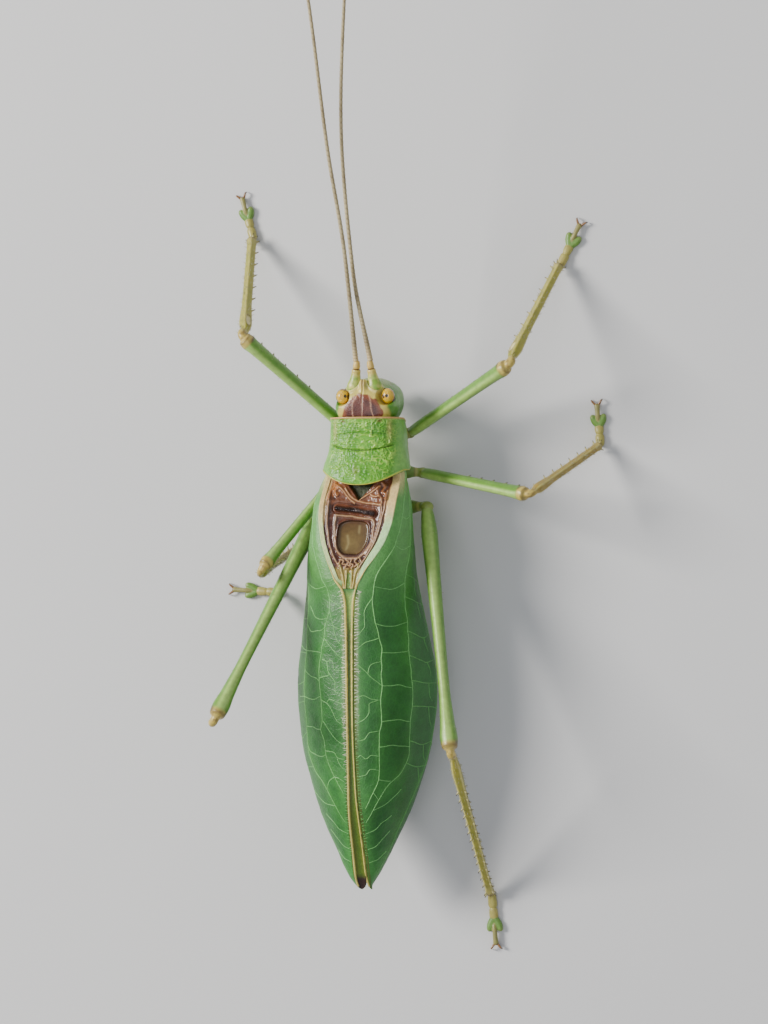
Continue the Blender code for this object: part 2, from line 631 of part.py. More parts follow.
def main():
    clear_scene()
    materials = {
        "head": paint("Head_green", (0.33, 0.45, 0.16), 0.4),
        "eye": paint("Eye_amber", (0.75, 0.47, 0.08), 0.15),
        "mouth": paint("Mouth_tan", (0.5, 0.45, 0.25), 0.4),
        "palp": paint("Palp_pale", (0.55, 0.6, 0.35), 0.45),
        "scape": paint("Scape_pale", (0.55, 0.62, 0.35), 0.4),
        "antenna": paint("Antenna_tan", (0.5, 0.42, 0.27), 0.5),
        "pronotum": paint("Pronotum_green", (0.25, 0.5, 0.08), 0.4),
        "belly": paint("Belly_green", (0.42, 0.52, 0.25), 0.5),
        "wing": paint("Wing_green", (0.07, 0.25, 0.04), 0.4),
        "mirror": paint("Mirror_brown", (0.2, 0.09, 0.04), 0.35),
        "coxa": paint("Coxa_green", (0.32, 0.44, 0.17), 0.45),
        "leg": paint("Femur_green", (0.25, 0.42, 0.14), 0.45),
        "shin": paint("Tibia_olive", (0.42, 0.42, 0.2), 0.45),
        "foot": paint("Tarsus_green", (0.3, 0.35, 0.15), 0.5),
    }
    build_head(materials)
    build_pronotum(materials)
    build_trunk(materials)
    for side, word in SIDES.items():
        build_wing(side, word, materials)
        for pair in LEGS:
            build_leg(pair, side, word, materials)
    build_stridulatory_area(materials)
    set_origin_under_box()


main()
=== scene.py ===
"""Looks of a life-size true katydid model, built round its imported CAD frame.

Sizes are millimetres in the CAD's own layout: y = 0 is the front edge of the pronotum, x = 0 the
middle plane of the folded wings, the head points to -Y and the insect's left side is +X.
"""
import math

import bmesh
import bpy
import numpy as np
from mathutils import Matrix, Vector, kdtree


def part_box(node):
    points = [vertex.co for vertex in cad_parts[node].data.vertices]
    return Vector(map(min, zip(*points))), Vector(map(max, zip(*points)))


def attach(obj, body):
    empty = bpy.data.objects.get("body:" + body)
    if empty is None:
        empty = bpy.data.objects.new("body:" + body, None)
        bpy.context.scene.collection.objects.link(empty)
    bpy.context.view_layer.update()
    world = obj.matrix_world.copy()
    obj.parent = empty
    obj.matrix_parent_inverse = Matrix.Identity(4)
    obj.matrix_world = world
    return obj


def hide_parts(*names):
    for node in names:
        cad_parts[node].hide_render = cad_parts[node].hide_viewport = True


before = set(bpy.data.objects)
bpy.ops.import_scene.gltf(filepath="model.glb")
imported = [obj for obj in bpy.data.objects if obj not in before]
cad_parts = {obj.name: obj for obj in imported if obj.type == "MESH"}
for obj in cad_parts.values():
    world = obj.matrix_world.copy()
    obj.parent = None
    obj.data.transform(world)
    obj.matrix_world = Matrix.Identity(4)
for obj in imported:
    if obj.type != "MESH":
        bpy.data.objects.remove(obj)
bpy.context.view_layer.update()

MM = 0.001
PRONOTUM_LENGTH = 6.65
LEFT, RIGHT = 1, -1
SIDES = {LEFT: "left", RIGHT: "right"}


# --- Numbers and noise ------------------------------------------------------------------

def shade(red, green, blue, rough=0.45):
    """A linear colour from 0-255 display values, with a roughness as its fourth number."""
    level = np.array([red, green, blue], float) / 255.0
    linear = np.where(level > 0.04045, ((level + 0.055) / 1.055) ** 2.4, level / 12.92)
    return np.append(linear, rough)


def smooth(t):
    t = np.clip(t, 0.0, 1.0)
    return t * t * (3.0 - 2.0 * t)


def bell(x, width):
    return np.exp(-(np.asarray(x) / width) ** 2)


def track(stations):
    """A smooth function without overshoot through a few (place, value) stations."""
    places, values = (np.array(column, float) for column in zip(*stations))
    steps = np.diff(values) / np.diff(places)
    slopes = np.zeros_like(values)
    for i in range(1, len(values) - 1):
        if steps[i - 1] * steps[i] > 0.0:
            slopes[i] = 2.0 * steps[i - 1] * steps[i] / (steps[i - 1] + steps[i])
    slopes[0], slopes[-1] = steps[0], steps[-1]

    def value(place):
        place = np.clip(np.asarray(place, float), places[0], places[-1])
        i = np.clip(np.searchsorted(places, place) - 1, 0, len(places) - 2)
        width = places[i + 1] - places[i]
        t = (place - places[i]) / width
        near = (1.0 + 2.0 * t) * values[i] + t * width * slopes[i]
        far = (3.0 - 2.0 * t) * values[i + 1] - (1.0 - t) * width * slopes[i + 1]
        return (1.0 - t) ** 2 * near + t ** 2 * far

    return value


def along(points, count):
    """Evenly spaced points on a smooth curve through the given points."""
    points = np.array(points, float)
    reach = np.append(0.0, np.cumsum(np.linalg.norm(np.diff(points, axis=0), axis=1)))
    places = np.linspace(0.0, reach[-1], count)
    return np.stack([track(list(zip(reach, axis)))(places) for axis in points.T], -1)


def middle(y):
    """The x of the body's middle plane at y."""
    return -0.8 * (1.0 - smooth((np.asarray(y, float) - 2.0) / 15.0))


def hashed(cell, seed):
    mixed = (cell[..., 0] * 73856093) ^ (cell[..., 1] * 19349663) ^ (cell[..., 2] * 83492791)
    mixed = (mixed + seed * 2654435) & 0xFFFFFFFF
    mixed = ((mixed ^ (mixed >> 15)) * 0x2C1B3C6D) & 0xFFFFFFFF
    mixed = ((mixed ^ (mixed >> 12)) * 0x297A2D39) & 0xFFFFFFFF
    return ((mixed ^ (mixed >> 15)) & 0xFFFFFF) / float(0xFFFFFF)


def noise(points, size, seed=0):
    """Smooth noise from -1 to 1 whose blobs are about size millimetres wide."""
    place = np.asarray(points, float) / size
    cell = np.floor(place).astype(np.int64)
    t = place - cell
    t = t * t * t * (t * (6.0 * t - 15.0) + 10.0)
    total = 0.0
    for corner in np.ndindex(2, 2, 2):
        weight = np.prod(np.where(np.array(corner) == 1, t, 1.0 - t), axis=-1)
        total = total + weight * hashed(cell + np.array(corner), seed)
    return 2.0 * total - 1.0


def fractal(points, size, octaves=3, seed=0):
    total = sum(noise(points, size / 2 ** k, seed + 7 * k) / 2 ** k for k in range(octaves))
    return total / (2.0 - 0.5 ** (octaves - 1))


def tint(paint, colour, amount):
    """Mixes a colour into painted points by an amount from 0 to 1."""
    amount = np.clip(np.asarray(amount, float), 0.0, 1.0)[..., None]
    return paint + (np.asarray(colour) - paint) * amount


def flood(colour, grid):
    """One colour over every point of a grid."""
    return np.broadcast_to(colour, grid.shape[:2] + (4,))


def coats(paint, *layers):
    """Lays (colour, amount) coats over painted points, one after the other."""
    for colour, amount in layers:
        paint = tint(paint, colour, amount)
    return paint


def line_distance(u, v, lines):
    """Distance from every (u, v) to the nearest of some polylines."""
    best = np.full(np.shape(u), 1e9)
    for line in lines:
        for a, b in zip(line[:-1], line[1:]):
            du, dv = b[0] - a[0], b[1] - a[1]
            t = np.clip(((u - a[0]) * du + (v - a[1]) * dv) / max(du * du + dv * dv, 1e-9), 0.0, 1.0)
            best = np.minimum(best, np.hypot(u - a[0] - t * du, v - a[1] - t * dv))
    return best


def bent(line, steps=4):
    return along(line, steps * (len(line) - 1) + 1)


def normals_of(grid, ring=False):
    """Unit normals of a grid of points (rows, columns, 3)."""
    down = np.gradient(grid, axis=0)
    if ring:
        side = np.roll(grid, -1, axis=1) - np.roll(grid, 1, axis=1)
    else:
        side = np.gradient(grid, axis=1)
    normal = np.cross(side, down)
    return normal / np.maximum(np.linalg.norm(normal, axis=-1, keepdims=True), 1e-9)


# --- Pieces -----------------------------------------------------------------------------

low, high = (np.array(corner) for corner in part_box("eye_left"))
EYE_PLACE = (2.32, -2.1, 9.0)
SHIFT = (low + high) / 2.0 / MM - np.array([middle(-1.0) + EYE_PLACE[0], EYE_PLACE[1], EYE_PLACE[2]])


class Stock:
    """Collects painted patches of one piece: points in millimetres and faces grouped by size."""

    def __init__(self):
        self.points, self.paint, self.faces, self.maps = [], [], {}, {}
        self.count = 0

    def add(self, points, paint, groups):
        """groups: (faces, corner places on the bake map or None)."""
        points = np.asarray(points, float).reshape(-1, 3)
        self.points.append(points)
        self.paint.append(np.broadcast_to(np.asarray(paint, float).reshape(-1, 4), (len(points), 4)))
        for faces, places in groups:
            size = faces.shape[1]
            self.faces.setdefault(size, []).append(faces + self.count)
            blank = np.zeros(faces.shape + (2,))
            self.maps.setdefault(size, []).append(blank if places is None else places)
        self.count += len(points)

    def grid(self, points, paint, ring=False, caps=False, window=(0.0, 0.0, 1.0, 1.0)):
        rows, columns = points.shape[:2]
        spans = columns if ring else columns - 1
        i, j = np.meshgrid(np.arange(rows - 1), np.arange(spans), indexing="ij")
        k = (j + 1) % columns
        quads = np.stack([i * columns + j, i * columns + k, (i + 1) * columns + k, (i + 1) * columns + j], -1)
        u0, v0, u1, v1 = window
        u = np.stack([j, j + 1, j + 1, j], -1) / spans * (u1 - u0) + u0
        v = np.stack([i, i, i + 1, i + 1], -1) / (rows - 1) * (v1 - v0) + v0
        groups = [(quads.reshape(-1, 4), np.stack([u, v], -1).reshape(-1, 4, 2))]
        flat = points.reshape(-1, 3)
        paint = flood(paint, points).reshape(-1, 4)
        if caps:
            hubs = np.stack([points[0].mean(0), points[-1].mean(0)])
            flat = np.concatenate([flat, hubs])
            paint = np.concatenate([paint, paint[:1], paint[-1:]])
            turn = np.arange(columns)
            for first, hub, edge in ((0, rows * columns, v0), ((rows - 1) * columns, rows * columns + 1, v1)):
                fan = np.stack([first + turn, first + (turn + 1) % columns, np.full(columns, hub)], -1)
                places = np.stack([np.stack([turn, turn + 1, turn + 0.5], -1) / columns * (u1 - u0) + u0,
                                   np.full((columns, 3), edge)], -1)
                groups.append((fan, places))
        self.add(flat, paint, groups)

    def tube(self, rings, paint):
        """A closed body from a tube's rings."""
        self.grid(rings, paint, ring=True, caps=True)

    def slab(self, outer, inner, outer_paint, inner_paint):
        """A closed shell: a fine outer grid and an inner one that has every second row and column."""
        rows, columns = outer.shape[:2]
        first = self.count
        self.grid(outer, outer_paint, window=(0.01, 0.01, 0.99, 0.72))
        base = self.count
        self.grid(inner, inner_paint, window=(0.01, 0.76, 0.99, 0.99))
        few = inner.shape[1]
        rim = [(0, j) for j in range(0, columns - 1, 2)]
        rim += [(i, columns - 1) for i in range(0, rows - 1, 2)]
        rim += [(rows - 1, j) for j in range(columns - 1, 0, -2)]
        rim += [(i, 0) for i in range(rows - 1, 0, -2)]
        fives = []
        for (i, j), (m, n) in zip(rim, rim[1:] + rim[:1]):
            mid = ((i + m) // 2, (j + n) // 2)
            fives.append([first + i * columns + j, first + mid[0] * columns + mid[1], first + m * columns + n,
                          base + m // 2 * few + n // 2, base + i // 2 * few + j // 2])
        fives = np.array(fives)
        edge = np.zeros(fives.shape + (2,))
        edge[..., 0] = np.linspace(0.01, 0.99, len(fives))[:, None]
        edge[..., 1] = (0.735, 0.735, 0.735, 0.745, 0.745)
        self.add(np.zeros((0, 3)), np.zeros((0, 4)), [(fives - self.count, edge)])

    def mesh(self, name, mapped):
        mesh = bpy.data.meshes.new(name)
        points = np.concatenate(self.points)
        mesh.vertices.add(len(points))
        mesh.vertices.foreach_set("co", ((points + SHIFT) * MM).ravel())
        loops, starts, places, at = [], [], [], 0
        for size, groups in self.faces.items():
            faces = np.concatenate(groups)
            loops.append(faces.ravel())
            starts.append(at + np.arange(len(faces)) * size)
            places.append(np.concatenate(self.maps[size]).reshape(-1, 2))
            at += faces.size
        loops, starts = np.concatenate(loops), np.concatenate(starts)
        mesh.loops.add(len(loops))
        mesh.loops.foreach_set("vertex_index", loops)
        mesh.polygons.add(len(starts))
        mesh.polygons.foreach_set("loop_start", starts)
        mesh.update(calc_edges=True)
        colour = mesh.attributes.new("paint", "FLOAT_COLOR", "POINT")
        colour.data.foreach_set("color", np.concatenate(self.paint).astype(np.float32).ravel())
        if mapped:
            layer = mesh.uv_layers.new(name="OFBake")
            layer.uv.foreach_set("vector", np.concatenate(places).astype(np.float32).ravel())
        cage = bmesh.new()
        cage.from_mesh(mesh)
        bmesh.ops.recalc_face_normals(cage, faces=cage.faces)
        cage.to_mesh(mesh)
        cage.free()
        mesh.shade_smooth()
        return mesh

    def piece(self, name, look, slot, nodes=(), mapped=False):
        return settle(bpy.data.objects.new(name, self.mesh(name, mapped)), look, nodes)


def settle(piece, look, nodes=()):
    """Hangs a finished piece on the model and hides the CAD parts that it replaces."""
    if piece.name not in bpy.context.scene.collection.objects:
        bpy.context.scene.collection.objects.link(piece)
    piece.data.materials.clear()
    piece.data.materials.append(look)
    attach(piece, "root")
    if nodes:
        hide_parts(*nodes)
    return piece


def tube(path, wide, high, across, sides=24, shape=None):
    """Rings round a path. Angle 0 lies along across; shape(turn, place) scales the radius."""
    path = np.array(path, float)
    tangent = np.gradient(path, axis=0)
    tangent /= np.linalg.norm(tangent, axis=1, keepdims=True)
    across = np.broadcast_to(np.asarray(across, float), path.shape)
    side = across - tangent * (across * tangent).sum(1, keepdims=True)
    side /= np.linalg.norm(side, axis=1, keepdims=True)
    up = np.cross(side, tangent)
    turn = 2.0 * np.pi * np.arange(sides) / sides
    wide, high = (np.broadcast_to(size, len(path)) for size in (wide, high))
    place = np.linspace(0.0, 1.0, len(path))
    scale = np.ones((len(path), sides)) if shape is None else shape(turn[None, :], place[:, None])
    out = side[:, None, :] * (np.cos(turn)[None, :] * wide[:, None] * scale)[..., None]
    lift = up[:, None, :] * (np.sin(turn)[None, :] * high[:, None] * scale)[..., None]
    return path[:, None, :] + out + lift


def rounded(length, count, radius):
    """Places along a limb and a factor that rounds both ends off like a capsule."""
    turn = np.linspace(0.0, np.pi, count)
    place = (1.0 - np.cos(turn)) / 2.0 * 0.35 + np.linspace(0.0, 1.0, count) * 0.65
    reach = place * length
    factor = np.ones(count)
    for left in (reach / radius, (length - reach) / radius):
        factor = np.minimum(factor, np.sqrt(np.clip(1.0 - (1.0 - np.clip(left, 0, 1)) ** 2, 0.003, 1)))
    return place, factor


# --- Materials --------------------------------------------------------------------------

BUMP_DEPTH = 0.03 * MM


def wire(tree, source, out, target, into):
    tree.links.new(source.outputs[out], target.inputs[into])


def node(tree, kind, values=(), **settings):
    """A new shader node with its settings and the values of its unlinked inputs."""
    made = tree.nodes.new("ShaderNode" + kind)
    for key, value in settings.items():
        setattr(made, key, value)
    for socket, value in dict(values).items():
        made.inputs[socket].default_value = value
    return made


def span(tree, low_end, high_end):
    """Maps the middle of a noise's range to the given ends."""
    return node(tree, "MapRange", {"From Min": 0.3, "From Max": 0.7, "To Min": low_end, "To Max": high_end})


def cuticle(name, mottle=0.12, mottle_size=0.9, grain=0.3, grain_size=0.07, cells=0.0, cell_size=0.5,
            cell_light=0.0, coat=0.0, under=0.12, under_size=0.35, level=0.5, sheen=0.0):
    """Insect cuticle: painted ground colour, mottling, fine grain and an optional net of cells."""
    material = bpy.data.materials.new(name)
    material.use_nodes = True
    tree = material.node_tree
    shader = tree.nodes["Principled BSDF"]
    place = node(tree, "TexCoord")
    paint = node(tree, "Attribute", attribute_name="paint")

    blotches = node(tree, "TexNoise", {"Scale": 1.0 / (mottle_size * MM), "Detail": 4.0})
    wire(tree, place, "Object", blotches, "Vector")
    spread = span(tree, 1.0 - mottle, 1.0 + mottle)
    wire(tree, blotches, "Fac", spread, "Value")
    colour = node(tree, "VectorMath", operation="SCALE")
    wire(tree, paint, "Color", colour, 0)
    wire(tree, spread, "Result", colour, "Scale")

    dust = node(tree, "TexNoise", {"Scale": 1.0 / (grain_size * MM), "Detail": 3.0})
    wire(tree, place, "Object", dust, "Vector")
    bump = node(tree, "Bump", {"Strength": grain, "Distance": BUMP_DEPTH})
    wire(tree, dust, "Fac", bump, "Height")

    if cells > 0.0:
        net = node(tree, "TexVoronoi", {"Scale": 1.0 / (cell_size * MM)}, feature="DISTANCE_TO_EDGE")
        wire(tree, place, "Object", net, "Vector")
        line = node(tree, "MapRange", {"From Max": 0.14, "To Min": 1.0, "To Max": 0.0},
                    interpolation_type="SMOOTHSTEP")
        wire(tree, net, "Distance", line, "Value")
        second = node(tree, "Bump", {"Strength": cells, "Distance": BUMP_DEPTH})
        wire(tree, line, "Result", second, "Height")
        wire(tree, bump, "Normal", second, "Normal")
        bump = second
        if cell_light > 0.0:
            lift = node(tree, "Math", {1: cell_light, 2: 1.0}, operation="MULTIPLY_ADD")
            wire(tree, line, "Result", lift, 0)
            lighter = node(tree, "VectorMath", operation="SCALE")
            wire(tree, colour, "Vector", lighter, 0)
            wire(tree, lift, "Value", lighter, "Scale")
            colour = lighter
    wire(tree, colour, "Vector", shader, "Base Color")
    wire(tree, bump, "Normal", shader, "Normal")

    wear = span(tree, 0.85, 1.15)
    wire(tree, dust, "Fac", wear, "Value")
    rough = node(tree, "Math", operation="MULTIPLY", use_clamp=True)
    wire(tree, paint, "Alpha", rough, 0)
    wire(tree, wear, "Result", rough, 1)
    wire(tree, rough, "Value", shader, "Roughness")

    for socket, value in (
            ("Specular IOR Level", level), ("Coat Weight", coat), ("Coat Roughness", 0.25),
            ("Sheen Weight", sheen), ("Subsurface Weight", under), ("Subsurface Radius", (0.8, 1.0, 0.45)),
            ("Subsurface Scale", under_size * MM)):
        shader.inputs[socket].default_value = value
    return material


LOOKS = {
    "wing": cuticle("tegmen_leaf", mottle=0.1, mottle_size=0.6, grain=0.4, grain_size=0.09, cells=0.3,
                    cell_size=0.42, cell_light=0.16, under=0.1),
    "strid": cuticle("stridulatory_brown", mottle=0.16, mottle_size=0.5, grain=0.3, grain_size=0.1, coat=0.25,
                     under=0.1),
    "pronotum": cuticle("pronotum_green", mottle=0.12, mottle_size=0.5, grain=0.35, grain_size=0.08,
                        coat=0.05, under=0.18),
    "head": cuticle("head_capsule", mottle=0.11, mottle_size=0.5, grain=0.26, grain_size=0.08, coat=0.12,
                    cells=0.14, cell_size=0.19, cell_light=0.03,
                    under=0.18),
    "eye": cuticle("compound_eye", mottle=0.05, mottle_size=0.2, grain=0.0, cells=0.5, cell_size=0.05,
                   coat=0.8, under=0.04, under_size=0.1),
    "mouth": cuticle("mouthparts", mottle=0.1, mottle_size=0.4, grain=0.25, grain_size=0.06, coat=0.15,
                     under=0.2),
    "antenna": cuticle("antenna_tan", mottle=0.1, mottle_size=0.3, grain=0.3, grain_size=0.05, under=0.15),
    "leg": cuticle("leg_green", mottle=0.13, mottle_size=0.5, grain=0.4, grain_size=0.08, coat=0.05,
                   under=0.18),
    "belly": cuticle("belly_pale", mottle=0.1, mottle_size=0.7, grain=0.35, grain_size=0.1, under=0.2),
    "spine": cuticle("spines_and_hair", mottle=0.08, mottle_size=0.3, grain=0.1, grain_size=0.05, under=0.1),
    "claw": cuticle("claw_horn", mottle=0.1, mottle_size=0.2, grain=0.1, grain_size=0.05, coat=0.4,
                    under=0.05),
}


# --- Folded fore wings ------------------------------------------------------------------

WING_FRONT, WING_TIP = 4.4, 46.6
WING_WIDTH = track([(4.4, 3.4), (5.7, 3.95), (7.0, 4.4), (8.5, 4.8), (12.0, 5.1), (16.0, 5.5), (20.0, 6.1),
                    (27.0, 7.1), (32.0, 6.6), (37.0, 5.25), (41.0, 3.6), (44.0, 2.2), (46.6, 0.85)])
WING_RIDGE = track([(5.7, 11.0), (10.0, 11.6), (17.0, 12.4), (27.5, 12.2), (37.0, 11.2), (43.0, 9.0),
                    (46.6, 7.6)])
WING_BULGE = track([(5.7, 8.8), (12.0, 8.6), (20.0, 6.8), (27.0, 5.6), (37.0, 5.9), (46.6, 7.2)])
WING_HEM = track([(5.7, 7.7), (9.0, 7.1), (12.0, 6.0), (16.0, 4.6), (20.0, 3.4), (27.0, 2.4), (34.0, 3.0),
                  (40.0, 4.7), (46.6, 7.0)])
HEM_TUCK = track([(5.7, 0.93), (12.0, 0.85), (20.0, 0.72), (27.0, 0.66), (37.0, 0.72), (46.6, 0.9)])
RIDGE_TAIL = [(18.2, 0.34), (22.0, 0.25), (30.0, 0.22), (36.0, 0.3), (40.0, 0.43), (46.6, 0.5)]
INNER_MARGIN = {
    LEFT: track([(4.4, 2.8), (5.7, 3.22), (7.9, 3.27), (9.6, 3.22), (11.7, 2.8), (13.9, 1.95), (15.2, 1.3),
                 (16.4, 0.8)] + RIDGE_TAIL),
    RIGHT: track([(4.4, 2.6), (5.7, 3.05), (8.1, 3.22), (9.9, 3.12), (12.0, 2.62), (13.6, 1.8), (14.9, 1.15),
                  (16.4, 0.7)] + RIDGE_TAIL),
}
BAND_WIDTH = {LEFT: 0.42, RIGHT: 0.74}
STRID_END = 16.3
FLANK_POWER = 1.7


def root_dip(reach, y):
    """How far the wing roots sink to slip in under the pronotum's shoulders."""
    return 1.8 * smooth((reach - 1.5) / 2.0) * (1.0 - smooth((np.asarray(y) - 5.0) / 3.9))


# Veins as (y, distance from the ridge) in millimetres over the unrolled wing
LONG_VEINS = {
    LEFT: [(5.2, 0.8), (9.0, 1.1), (13.0, 1.25), (17.8, 1.69), (18.8, 1.76), (20.2, 2.3), (21.8, 2.6),
           (23.0, 3.0), (24.7, 3.36), (26.2, 3.25), (27.6, 3.06), (29.6, 2.95), (30.5, 3.12), (31.6, 2.7),
           (32.8, 2.6), (33.9, 2.17), (35.1, 1.45), (35.9, 0.98), (36.7, 0.5)],
    RIGHT: [(5.2, 0.8), (9.0, 1.1), (13.0, 1.3), (17.0, 1.6), (19.9, 2.03), (21.4, 2.44), (22.8, 2.72),
            (24.7, 2.69), (26.1, 2.75), (27.6, 2.58), (29.7, 2.69), (30.7, 2.4), (32.1, 2.38), (33.6, 2.3),
            (35.3, 2.1), (36.6, 1.5), (38.2, 0.6)],
}
OUTER_VEIN = [(5.2, 1.5), (7.0, 2.0), (10.0, 2.9), (14.0, 4.3), (18.4, 5.3), (20.3, 5.6), (23.0, 5.6),
              (24.7, 5.85), (27.5, 6.0), (30.4, 5.7), (32.6, 5.6), (34.8, 4.5), (35.7, 3.3), (36.5, 2.6),
              (37.5, 1.9), (38.7, 1.1), (39.6, 0.5)]
HEM_VEIN = [(9.0, 3.4), (13.0, 6.3), (18.0, 8.9), (23.0, 10.2), (28.0, 10.3), (33.0, 8.8), (37.0, 6.6),
            (40.0, 4.6), (43.0, 2.5), (45.0, 1.0)]
SHARED_BRANCHES = [
    [(16.2, 4.8), (16.8, 3.4), (16.5, 1.6)],
    [(12.6, 3.8), (12.9, 2.6), (12.5, 1.25)],
    [(9.6, 2.8), (9.9, 2.0), (9.7, 1.15)],
    [(39.0, 3.3), (39.7, 2.1), (40.4, 1.3), (40.8, 0.3)],
    [(40.6, 3.0), (41.4, 1.9), (42.1, 1.1), (42.4, 0.3)],
    [(42.7, 2.3), (43.4, 1.3), (43.8, 0.3)],
]
BRANCHES = {
    LEFT: [
        [(18.9, 1.75), (20.3, 1.38), (21.6, 0.98), (22.4, 0.3)],
        [(35.1, 1.45), (35.6, 2.2), (36.45, 2.6)],
        [(22.5, 7.9), (22.9, 5.5), (23.0, 3.04)],
        [(23.1, 5.6), (24.7, 5.85), (25.4, 4.5), (25.5, 3.8), (25.8, 3.3)],
        [(27.6, 7.3), (27.5, 6.0), (27.7, 4.3), (27.3, 3.2)],
        [(18.5, 4.9), (19.5, 3.9), (19.7, 2.9), (19.6, 2.1)],
        [(20.3, 5.6), (21.0, 4.6), (20.9, 3.2), (20.5, 2.4)],
        [(21.5, 2.56), (22.5, 1.63), (23.3, 0.74), (23.5, 0.3)],
        [(23.6, 2.9), (23.9, 2.22), (24.8, 2.09), (25.9, 1.26), (26.7, 1.27), (27.0, 0.4)],
        [(25.5, 3.3), (25.1, 2.1), (23.9, 2.22), (23.8, 1.53), (24.6, 1.39), (24.7, 0.4)],
        [(30.4, 5.6), (30.5, 3.12)],
        [(32.1, 5.7), (32.9, 5.2), (33.2, 3.25), (33.0, 2.59)],
        [(27.6, 3.06), (27.9, 2.31), (29.5, 1.08), (30.1, 0.3)],
        [(27.9, 2.31), (27.5, 1.96), (27.8, 0.78), (27.9, 0.3)],
        [(29.7, 2.8), (31.1, 1.52), (32.0, 0.3)],
        [(32.6, 2.62), (32.7, 1.62), (33.2, 0.98), (33.3, 0.3)],
        [(33.3, 1.12), (34.1, 0.67), (34.3, 0.3)],
        [(35.1, 1.45), (35.2, 1.0), (35.6, 0.3)],
        [(37.0, 6.2), (37.4, 4.6), (37.9, 3.2), (38.0, 1.6)],
        [(17.8, 1.7), (18.2, 0.9), (18.6, 0.3)],
        [(20.4, 1.35), (20.6, 0.8), (20.7, 0.3)],
    ],
    RIGHT: [
        [(22.9, 2.73), (23.0, 3.96), (22.8, 5.6)],
        [(26.1, 2.75), (26.1, 3.87), (26.4, 5.9)],
        [(29.6, 2.7), (29.5, 4.2), (29.7, 5.8)],
        [(32.1, 2.38), (32.0, 4.0), (32.2, 5.6)],
        [(35.3, 2.1), (35.5, 3.4)],
        [(36.6, 1.5), (37.3, 2.0)],
        [(20.1, 2.1), (20.4, 3.6), (20.0, 5.5)],
        [(24.0, 0.3), (24.9, 1.35), (25.8, 2.39), (26.1, 2.75)],
        [(24.9, 1.35), (24.2, 1.6), (23.7, 2.7)],
        [(21.5, 2.45), (21.8, 1.23), (22.6, 0.3)],
        [(17.6, 1.65), (19.0, 1.0), (20.2, 1.03), (21.3, 0.3)],
        [(27.4, 0.2), (27.1, 0.9), (27.4, 1.8), (27.5, 2.6)],
        [(29.8, 0.2), (29.4, 0.9), (28.6, 1.5), (27.9, 1.5), (27.5, 2.3)],
        [(31.5, 0.2), (31.3, 0.85), (30.6, 1.6), (30.5, 2.5)],
        [(33.1, 0.2), (32.9, 0.5), (33.2, 0.94), (32.9, 1.6), (33.0, 2.3)],
        [(35.0, 0.2), (34.8, 0.9), (34.3, 1.4), (34.4, 2.2)],
        [(36.4, 4.6), (37.2, 3.6), (37.8, 2.6), (38.4, 1.3)],
    ],
}


def hem_branches(arc, seed):
    """Cross veins from the outer long vein down to the hem, joined here and there into cells."""
    dice = np.random.default_rng(seed)
    outer_vein, hem_vein = track(OUTER_VEIN), track(HEM_VEIN)
    lines = []
    for y in np.arange(9.5, 35.0, 2.7):
        y = y + dice.uniform(-0.6, 0.6)
        start, mid = float(outer_vein(y)), float(hem_vein(y + 0.4))
        end = float(np.interp(y + 1.1, *arc)) - 0.1
        bend = dice.uniform(-0.4, 0.4, 3)
        fork = (y + 0.4 + bend[0], start * 0.45 + mid * 0.55)
        lines.append([(y, start), fork, (y + 0.5 + bend[1], mid)])
        lines.append([fork, (y + 1.3 + bend[2], start * 0.4 + mid * 0.6), (y + 2.2, start * 0.3 + mid * 0.7)])
        if end > mid + 0.6:
            lines.append([(y + 0.5 + bend[1], mid), (y + 0.8 + bend[2], (mid + end) / 2), (y + 1.1, end)])
    return lines


